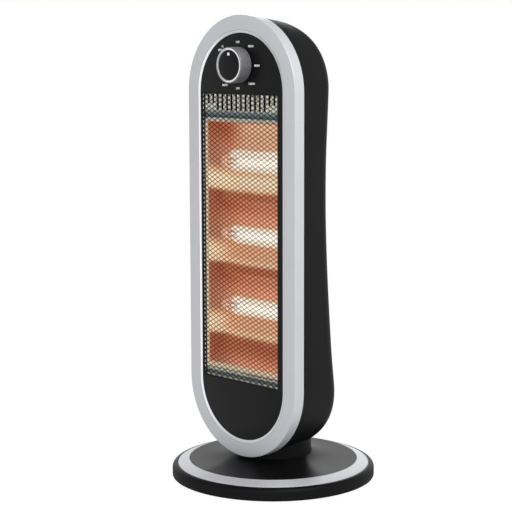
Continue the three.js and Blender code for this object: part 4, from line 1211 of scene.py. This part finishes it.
# ---------------------------------------------------------------- guard
# A flat net of expanded steel, painted dark, with a narrow flattened border. Each strand zigzags
# across the window and is still joined to its neighbours at every bend.
strand_pitch = 10.34 * mm
strand_rise = 5.7 * mm
strand_width = 0.84 * mm
strand_depth = 0.3 * mm
bond_length = 0.5 * mm
border_width = 0.7 * mm
edge_strip = 4.6 * mm
clip_width = 2.2 * mm
bridge_height = 2.8 * mm
guard_front = panel_front + 0.25 * mm
guard_back = guard_front + 0.35 * mm
guard_depth = (guard_front + guard_back) / 2

guard_black = coated(
    "guard_black", (0.003, 0.003, 0.003), (0.008, 0.006, 0.005), (7 * mm, 4), (0.42, 0.2),
    grain=(0.5 * mm, 3), relief=0.03 * mm, specular=0.12,
)


def guard_strands():
    """The zigzag strands of the net, each a half cell above the last and half a cell along."""
    half_width = guard_high.x - edge_strip + border_width
    half_height = (guard_high.z - guard_low.z) / 2 - border_width / 2
    bends = 2 * math.ceil(half_width / (strand_pitch / 2))
    strands = 2 * math.floor(half_height / strand_rise * 2) + 1
    pattern = Pattern(
        "guard_net", guard_black, Pitch=strand_pitch, Rise=strand_rise, Width=strand_width,
        Depth=strand_depth, Bond=bond_length, Limit=half_width, Bends=bends, Strands=strands,
        Middle=(0.0, guard_depth, (guard_low.z + guard_high.z) / 2),
    )
    given = pattern.given
    index = pattern.add("GeometryNodeInputIndex")
    line = pattern.row((given["Bends"] + 1) * 2, (0.0, 0.0, 0.0), (1 * mm, 0.0, 0.0))
    bend = pattern.maths("FLOOR", index / 2)
    after = index - bend * 2
    side = 1 - pattern.maths("FLOORED_MODULO", bend, 2.0) * 2
    along = (bend - given["Bends"] / 2) * given["Pitch"] * 0.5 + (after - 0.5) * given["Bond"]
    kept = pattern.add("ShaderNodeClamp", values=[along, given["Limit"] * -1, given["Limit"]])
    shaped = pattern.add("GeometryNodeSetPosition", values={
        "Geometry": line, "Position": pattern.vector(kept, 0.0, side * given["Rise"] * 0.25),
    })
    path = pattern.add("GeometryNodeMeshToCurve", values={"Mesh": shaped})
    section = pattern.add("GeometryNodeCurvePrimitiveQuadrilateral", values={
        "Width": given["Depth"], "Height": given["Width"],
    })
    strand = pattern.add("GeometryNodeCurveToMesh", values={
        "Curve": path, "Profile Curve": section, "Fill Caps": True,
    })
    top = pattern.row(given["Strands"], (0.0, 0.0, 0.0), pattern.vector(z=given["Rise"] * 0.5))
    lift = pattern.vector(z=(given["Strands"] - 1) * given["Rise"] * -0.25)
    level = pattern.add("ShaderNodeVectorMath", {"operation": "ADD"}, [given["Middle"], lift])
    rows = pattern.moved(top, level)
    turned_over = pattern.vector(x=pattern.maths("FLOORED_MODULO", index, 2.0) * math.pi)
    return pattern.made(pattern.copies(rows, strand, turn=turned_over))


def strip_bridges():
    """The short bridges across the open strip in the border's left edge, one beside each row of cells."""
    pattern = Pattern(
        "strip_bridges", guard_black, Count=math.floor((guard_high.z - guard_low.z) / strand_rise),
        Rise=strand_rise, Size=(clip_width + 0.2 * mm, guard_back - guard_front, bridge_height),
        First=(guard_low.x + (border_width + clip_width) / 2, guard_depth, guard_low.z + strand_rise / 2),
    )
    given = pattern.given
    line = pattern.row(given["Count"], (0.0, 0.0, 0.0), pattern.vector(z=given["Rise"]))
    placed = pattern.moved(line, given["First"])
    bridge = pattern.add("GeometryNodeMeshCube", values={"Size": given["Size"]})
    return pattern.made(pattern.copies(placed, bridge))


net = guard_strands()
bridges = strip_bridges()
mouth = box_outline(
    guard_low.x + edge_strip, guard_low.z + border_width, guard_high.x - edge_strip,
    guard_high.z - border_width,
)
clips_left = guard_low.x + border_width / 2
clips = box_outline(
    clips_left, guard_low.z + border_width, clips_left + clip_width, guard_high.z - border_width
)
outer_border = box_outline(guard_low.x, guard_low.z, guard_high.x, guard_high.z)
border = plate("guard_border", [outer_border, mouth, clips], guard_front, guard_back, 0.03 * mm, resolution=1)
joined = bmesh.new()
for part in (net, border, bridges):
    joined.from_mesh(part.data)
joined.to_mesh(net.data)
joined.free()
for used in (border, bridges):
    bpy.data.objects.remove(used)
fitted(net, guard_black, "head", "guard_wire", "guard_mesh", sharp=30)

# ---------------------------------------------------------------- reflector
# Polished, embossed aluminium sheet behind the guard: a frame with a row of cooling slots along its
# top and side walls folded back, and in it a sheet rolled into a trough behind each lamp. The lamps'
# light on the metal is painted into its glow and colour, and the frame's bands carry painted reflections.
frame_low, frame_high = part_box("reflector_frame")
trough_low, trough_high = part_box("reflector")
lamp_spots = []
for number in (1, 2, 3):
    low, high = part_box(f"halogen_tube_{number}")
    lamp_spots.append(((low.y + high.y) / 2, (low.z + high.z) / 2))
lamp_pitch = lamp_spots[0][1] - lamp_spots[1][1]
sheet = 0.8 * mm
trough_back = trough_high.y - sheet
trough_sag = 28.72 * mm
trough_radius = ((lamp_pitch / 2) ** 2 + trough_sag**2) / (2 * trough_sag)
cavity_bottom = trough_low.z
cavity_top = trough_high.z
cavity_half = trough_high.x + fit_gap
wall_x = cavity_half + sheet
flange_front = guard_back + 0.3 * mm


def trough_line(steps):
    """The troughs' section as (y, z), on the polished face from bottom to top."""
    points = [(trough_low.y, cavity_bottom)]
    for _, middle in reversed(lamp_spots):
        for k in range(steps + 1):
            rise = lamp_pitch * (k / steps - 0.5)
            depth = trough_back - trough_radius + math.sqrt(trough_radius**2 - rise**2)
            points.append((depth, middle + rise))
    points.append((trough_low.y, cavity_top))
    return points


def swept_across(section, left, right):
    """A closed section of (y, z) carried straight across from left to right."""
    count = len(section)
    corners = [(x, y, z) for x in (left, right) for y, z in section]
    faces = [(i, (i + 1) % count, count + (i + 1) % count, count + i) for i in range(count)]
    return corners, faces


def trough_sheet():
    """The rolled sheet: its face and its back, its two long edges and its two ends."""
    face = trough_line(24)
    behind = [(y + sheet, z) for y, z in face]
    count = len(face)
    total = 2 * count
    corners, faces = swept_across(face + behind[::-1], trough_low.x, trough_high.x)
    for start in (0, total):
        faces += [
            (start + i, start + i + 1, start + total - 2 - i, start + total - 1 - i) for i in range(count - 1)
        ]
    return solid("trough_sheet", corners, faces)


slot_count = 15
slot_pitch = 8.28 * mm
slot_width = 3.8 * mm
slot_length = 20 * mm
slot_top = frame_high.z - 0.8 * mm
short_slots = 2
slot_shortening = 8 * mm


def slot_tool():
    """The row of upright slots, two at each end shorter, as a tool that cuts the frame."""
    pattern = Pattern(
        "cooling_slots", None, Count=slot_count, Pitch=slot_pitch, Width=slot_width, Length=slot_length,
        Shorter=slot_shortening, Ends=short_slots, Top=(0.0, flange_front - 1 * mm, slot_top),
        Depth=sheet + 2 * mm,
    )
    given = pattern.given
    index = pattern.add("GeometryNodeInputIndex")
    centre = (given["Count"] - 1) / 2
    short = pattern.maths("GREATER_THAN", abs(index - centre), centre - given["Ends"] + 0.5)
    length = given["Length"] - short * given["Shorter"]
    line = pattern.row(given["Count"], (0.0, 0.0, 0.0), pattern.vector(x=given["Pitch"]))
    to_left = pattern.vector(x=centre * given["Pitch"])
    start = pattern.add("ShaderNodeVectorMath", {"operation": "SUBTRACT"}, [given["Top"], to_left])
    placed = pattern.moved(line, start)
    cutter_size = pattern.vector(given["Width"], given["Depth"], 1.0)
    cutter = pattern.add("GeometryNodeMeshCube", values={"Size": cutter_size})
    hung = pattern.moved(cutter, pattern.vector(0.0, given["Depth"] * 0.5, -0.5))
    copies = pattern.add("GeometryNodeInstanceOnPoints", values={
        "Points": placed, "Instance": hung, "Scale": pattern.vector(1.0, 1.0, length),
    })
    return pattern.made(copies)


def frame_wall(left, right):
    """One of the frame's side walls, from the flange back to the troughs."""
    section = [(flange_front + sheet / 2, cavity_bottom)]
    section += [(y + sheet, z) for y, z in trough_line(24)]
    section += [(flange_front + sheet / 2, cavity_top)]
    count = len(section)
    corners, faces = swept_across(section, left, right)
    faces += [tuple(range(count)), tuple(range(2 * count - 1, count - 1, -1))]
    return solid("wall", corners, faces)


slotted_frame = plate(
    "slotted_frame",
    [
        box_outline(frame_low.x, frame_low.z, frame_high.x, frame_high.z),
        box_outline(-cavity_half, cavity_bottom + sheet, cavity_half, cavity_top - sheet),
    ],
    flange_front, flange_front + sheet, 0.1 * mm, resolution=1,
)
combined(slotted_frame, slot_tool())
lamp_hole_radius = 7.8 * mm
for left, right in ((-wall_x, -cavity_half), (cavity_half, wall_x)):
    wall = frame_wall(left, right)
    hole = rod(lamp_hole_radius, left - 1 * mm, right + 1 * mm)
    for depth, height in lamp_spots:
        combined(wall, turned("lamp_hole", hole, 32, Matrix.Translation((0, depth, height)) @ along_x))
    combined(slotted_frame, wall, "UNION")

glow_lift = 7.5 * mm
glow_radius = 11.5 * mm
glow_start = -9 * mm
hotter_glow = 2.2 * mm
lean_across = 1.02
lean_up = 0.2


def cavity_glow(finish, facing):
    """Painted lamp light on bright metal: cream by each lamp and below it, painted shade of dark red between
    troughs.
    """
    # The painted light leans across and up with depth, and is used as the metal's glow colour.
    depth = finish.y - bezel_front
    across = finish.x + lean_across * depth
    upwards = finish.z + lean_up * depth
    ripple = 5 * mm * (finish.noise(18 * mm, detail=3, stretch=(1.6, 1, 1)) - 0.5)
    share = (upwards + ripple - (lamp_spots[2][1] + glow_lift - lamp_pitch / 2)) / lamp_pitch
    within = finish.maths("FRACT", share + 9)
    bands = finish.ramp(
        within,
        (0.0, shade(162, 84, 58)), (0.06, shade(176, 98, 68)), (0.12, shade(244, 212, 172)),
        (0.26, shade(252, 232, 196)), (0.36, shade(238, 192, 150)), (0.6, shade(232, 168, 130)),
        (0.74, shade(226, 146, 112)), (0.88, shade(190, 106, 74)), (1.0, shade(168, 86, 58)),
    )
    leftwards = 1 - across.rise(-50 * mm, 5 * mm)
    # Painted shade on the left and between the troughs.
    left_shade = leftwards * (within.band(0.4, 1.2, 0.08) * 0.75 + (1 - within.rise(0.05, 0.12)) * 0.9)
    below_top = 1 - upwards.rise(lamp_spots[0][1] - lamp_pitch / 2, lamp_spots[0][1] - lamp_pitch / 3)
    dimmer = below_top * within.band(0.14, 0.5, 0.06) * across.rise(-60 * mm, -10 * mm)
    warmed = finish.mix(dimmer * 0.85, bands, shade(226, 160, 116))
    shaded = finish.mix(left_shade, warmed, shade(150, 74, 46))
    # A pale painted highlight above the top lamp, towards the right.
    pale_highlight = across.rise(-24 * mm, 14 * mm) * upwards.band(lamp_spots[0][1] + 24 * mm, cavity_top, 3 * mm)
    highlighted = finish.mix(pale_highlight * 0.8, shaded, shade(222, 178, 142))
    off_centre = (within - 0.5) * lamp_pitch - (1 - below_top) * hotter_glow
    before = finish.maths("MAXIMUM", glow_start - across, 0.0)
    distance = finish.length(off_centre, before) - (1 - below_top) * hotter_glow
    near_lamp = 1 - distance.rise(glow_radius - 1.5 * mm, glow_radius + 1.5 * mm)
    lit = finish.mix(near_lamp, highlighted, shade(250, 240, 222))
    edge_lit = finish.mix(depth.band(2.5 * mm, 7.5 * mm, 0.8 * mm), lit, shade(214, 196, 168))
    inside = finish.z.band(cavity_bottom + 1 * mm, cavity_top - 1 * mm, 1.5 * mm)
    return finish.mix(inside * facing, (0, 0, 0), edge_lit)


trough_metal = Finish("embossed_aluminium", metallic=1.0, emission_strength=0.9)
emboss = trough_metal.noise(1.6 * mm, detail=2)
_, faces_back, _ = trough_metal.parts(trough_metal.add("ShaderNodeTexCoord", output="Normal"))
faces_lamps = 1 - faces_back.rise(-0.2, 0.0)
# Painted warm reflection: the faces towards the lamps take a red-brown base colour, those behind plain grey.
trough_metal.surface(
    base_color=trough_metal.mix(faces_lamps, (0.6, 0.6, 0.6), (0.16, 0.1, 0.07)),
    roughness=0.34 + 0.1 * emboss,
    normal=trough_metal.relief(emboss, 0.3 * mm),
    emission_color=cavity_glow(trough_metal, faces_lamps),
)
fitted(trough_sheet(), trough_metal, "head", "polished_sheet", "reflector")

frame_metal = Finish("slotted_aluminium", metallic=0.3, specular=0.4, emission_strength=0.9)
dimples = frame_metal.noise(1.3 * mm, detail=2)
faces_right, _, _ = frame_metal.parts(frame_metal.add("ShaderNodeTexCoord", output="Normal"))
wall_lit = (frame_metal.x * faces_right * -1000).rise(10.0, 20.0) * (
    (frame_metal.y - flange_front).rise(0.8 * mm, 1.6 * mm)
)
# The flange is coloured with painted reflections: cream bars, then dark teal and blue-grey bands below the
# slots and along the foot, and a side strip painted bright on the left as a highlight and dark on the right
# as shade.
top_reflection_bands = frame_metal.ramp(
    (frame_metal.z - cavity_top) / (frame_high.z - cavity_top),
    (0.0, shade(225, 222, 205)), (0.09, shade(225, 225, 208)), (0.13, shade(40, 58, 68)),
    (0.2, shade(62, 88, 98)), (0.33, shade(140, 158, 156)), (0.42, shade(240, 236, 216)),
)
foot_reflection_bands = frame_metal.ramp(
    (frame_metal.z - frame_low.z) / (cavity_bottom - frame_low.z),
    (0.0, shade(180, 176, 162)), (0.25, shade(180, 176, 162)), (0.35, shade(62, 78, 84)),
    (0.75, shade(62, 78, 84)), (0.85, shade(225, 212, 186)),
)
side_strip_light_and_shade = frame_metal.mix(frame_metal.x.rise(-20 * mm, 20 * mm), shade(225, 235, 222), shade(60, 62, 60))
upper_part = frame_metal.z.rise(cavity_top - 0.5 * mm, cavity_top)
lower_part = 1 - frame_metal.z.rise(cavity_bottom, cavity_bottom + 0.5 * mm)
flange_painted_light = frame_metal.mix(lower_part, frame_metal.mix(upper_part, side_strip_light_and_shade, top_reflection_bands), foot_reflection_bands)
embossed_flange_light = frame_metal.mix(dimples.rise(0.35, 0.6) * 0.75 + 0.25, shade(120, 122, 112), flange_painted_light)
# Painted light: the left wall's inner face, lit by the lamps, takes a red-brown tint and the painted glow;
# the dimples add the embossed tone.
frame_metal.surface(
    base_color=frame_metal.mix(wall_lit, embossed_flange_light, (0.16, 0.1, 0.07)),
    roughness=0.4 + 0.12 * dimples,
    normal=frame_metal.relief(dimples, 0.25 * mm),
    emission_color=cavity_glow(frame_metal, wall_lit),
)
fitted(slotted_frame, frame_metal, "head", "polished_sheet", "reflector_frame")

# ---------------------------------------------------------------- lamps
# Three lit halogen lamps, one in each trough: a quartz tube round a coiled tungsten filament, held
# at both ends in a ceramic cap that passes through the frame's side wall.
tube_low, tube_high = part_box("halogen_tube_1")
tube_radius = (tube_high.z - tube_low.z) / 2
tube_half = tube_high.x
tube_wall = 1 * mm
lit_half = 46 * mm

quartz = Finish("lit_quartz", specular=0.5, roughness=0.06)
lit_zone = 1 - abs(quartz.x).rise(lit_half - 9 * mm, lit_half)
quartz.surface(
    base_color=(0.9, 0.85, 0.78),
    alpha=0.2 + 0.25 * lit_zone,
    emission_color=quartz.mix(lit_zone, (0, 0, 0), (1.0, 0.95, 0.86)),
    emission_strength=0.55,
)

hot_tungsten = Finish("hot_tungsten", emission_strength=1.0)
hot_tungsten.surface(
    base_color=(0.3, 0.28, 0.26),
    emission_color=hot_tungsten.mix(hot_tungsten.noise(4 * mm), (1.0, 0.8, 0.6), (1.0, 0.9, 0.75)),
)

ceramic = coated(
    "steatite", (0.62, 0.58, 0.5), (0.76, 0.73, 0.66), (0.9 * mm, 5), (0.6, 0.2), relief=0.05 * mm,
    specular=0.35, emission_strength=0.7,
)
# Painted glow: the caps' ends inside the cavity glow in the lamps' warm colour.
cap_glow_zone = 1 - abs(ceramic.x).rise(cavity_half - 1.5 * mm, cavity_half + 0.5 * mm)
ceramic.surface(emission_color=ceramic.mix(cap_glow_zone, (0, 0, 0), shade(190, 108, 72)))

cap_low, cap_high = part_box("lamp_cap_1_right")
cap_radius = 7.5 * mm
cap_flange = 10 * mm
cap_stub = 4 * mm
flange_start = cap_high.x - 10 * mm
flange_end = cap_high.x - 7 * mm
cap_ease = 0.4 * mm
cap_line = [
    (tube_radius + fit_gap, cap_low.x),
    (cap_radius - cap_ease, cap_low.x),
    (cap_radius, cap_low.x + cap_ease),
    (cap_radius, flange_start),
    (cap_flange - cap_ease, flange_start),
    (cap_flange, flange_start + cap_ease),
    (cap_flange, flange_end - cap_ease),
    (cap_flange - cap_ease, flange_end),
    (cap_stub, flange_end),
    (cap_stub, cap_high.x - 0.6 * mm),
    (cap_stub - 0.6 * mm, cap_high.x),
    (0, cap_high.x),
    (0, tube_half + fit_gap),
    (tube_radius + fit_gap, tube_half + fit_gap),
]
inner_tube = tube_radius - tube_wall
tube_line = [
    (inner_tube, -tube_half), (tube_radius, -tube_half), (tube_radius, tube_half), (inner_tube, tube_half)
]
coil_radius = 1.2 * mm
coil_wire = 0.28 * mm


def filament(name, place):
    """A close coil of fine wire along the tube, made as a curve that a round section follows."""
    pattern = Pattern(
        name, hot_tungsten, Length=2 * tube_half - 4 * mm, Turns=70.0, Radius=coil_radius - coil_wire,
        Wire=coil_wire, Middle=tuple(place),
    )
    given = pattern.given
    coil = pattern.add("GeometryNodeCurveSpiral", values={
        "Resolution": 8, "Rotations": given["Turns"], "Start Radius": given["Radius"],
        "End Radius": given["Radius"], "Height": given["Length"],
    })
    section = pattern.add("GeometryNodeCurvePrimitiveCircle", {"mode": "RADIUS"}, {
        "Resolution": 5, "Radius": given["Wire"],
    })
    wire = pattern.add("GeometryNodeCurveToMesh", values={
        "Curve": coil, "Profile Curve": section, "Fill Caps": True,
    })
    centred = pattern.moved(wire, pattern.vector(z=given["Length"] * -0.5))
    return pattern.made(pattern.moved(centred, given["Middle"], (0.0, math.radians(90), 0.0)))


for number, (depth, height) in enumerate(lamp_spots, start=1):
    middle = Matrix.Translation((0, depth, height))
    tube = turned(f"lamp_tube_{number}", tube_line, 32, middle @ along_x)
    fitted(tube, quartz, "head", "quartz", f"halogen_tube_{number}")
    coil = filament(f"lamp_coil_{number}", (0.0, depth, height))
    fitted(coil, hot_tungsten, "head", "filament", f"filament_{number}")
    for side, turn in (("left", 180), ("right", 0)):
        facing = middle @ Matrix.Rotation(math.radians(turn), 4, "Z") @ along_x
        cap = turned(f"ceramic_cap_{number}_{side}", cap_line, 40, facing)
        fitted(cap, ceramic, "head", "ceramic", f"lamp_cap_{number}_{side}")

# ---------------------------------------------------------------- brackets, shield and cut-out
# Behind the reflector: folded steel angles that carry the lamps' caps, a plain sheet that keeps the
# heat off the casing, and on it a thermal cut-out. They stay as they are modelled.
painted(zinc, "lamp_bracket_left", "lamp_bracket_right", "heat_shield")
painted(turned_steel, "thermal_cutout")
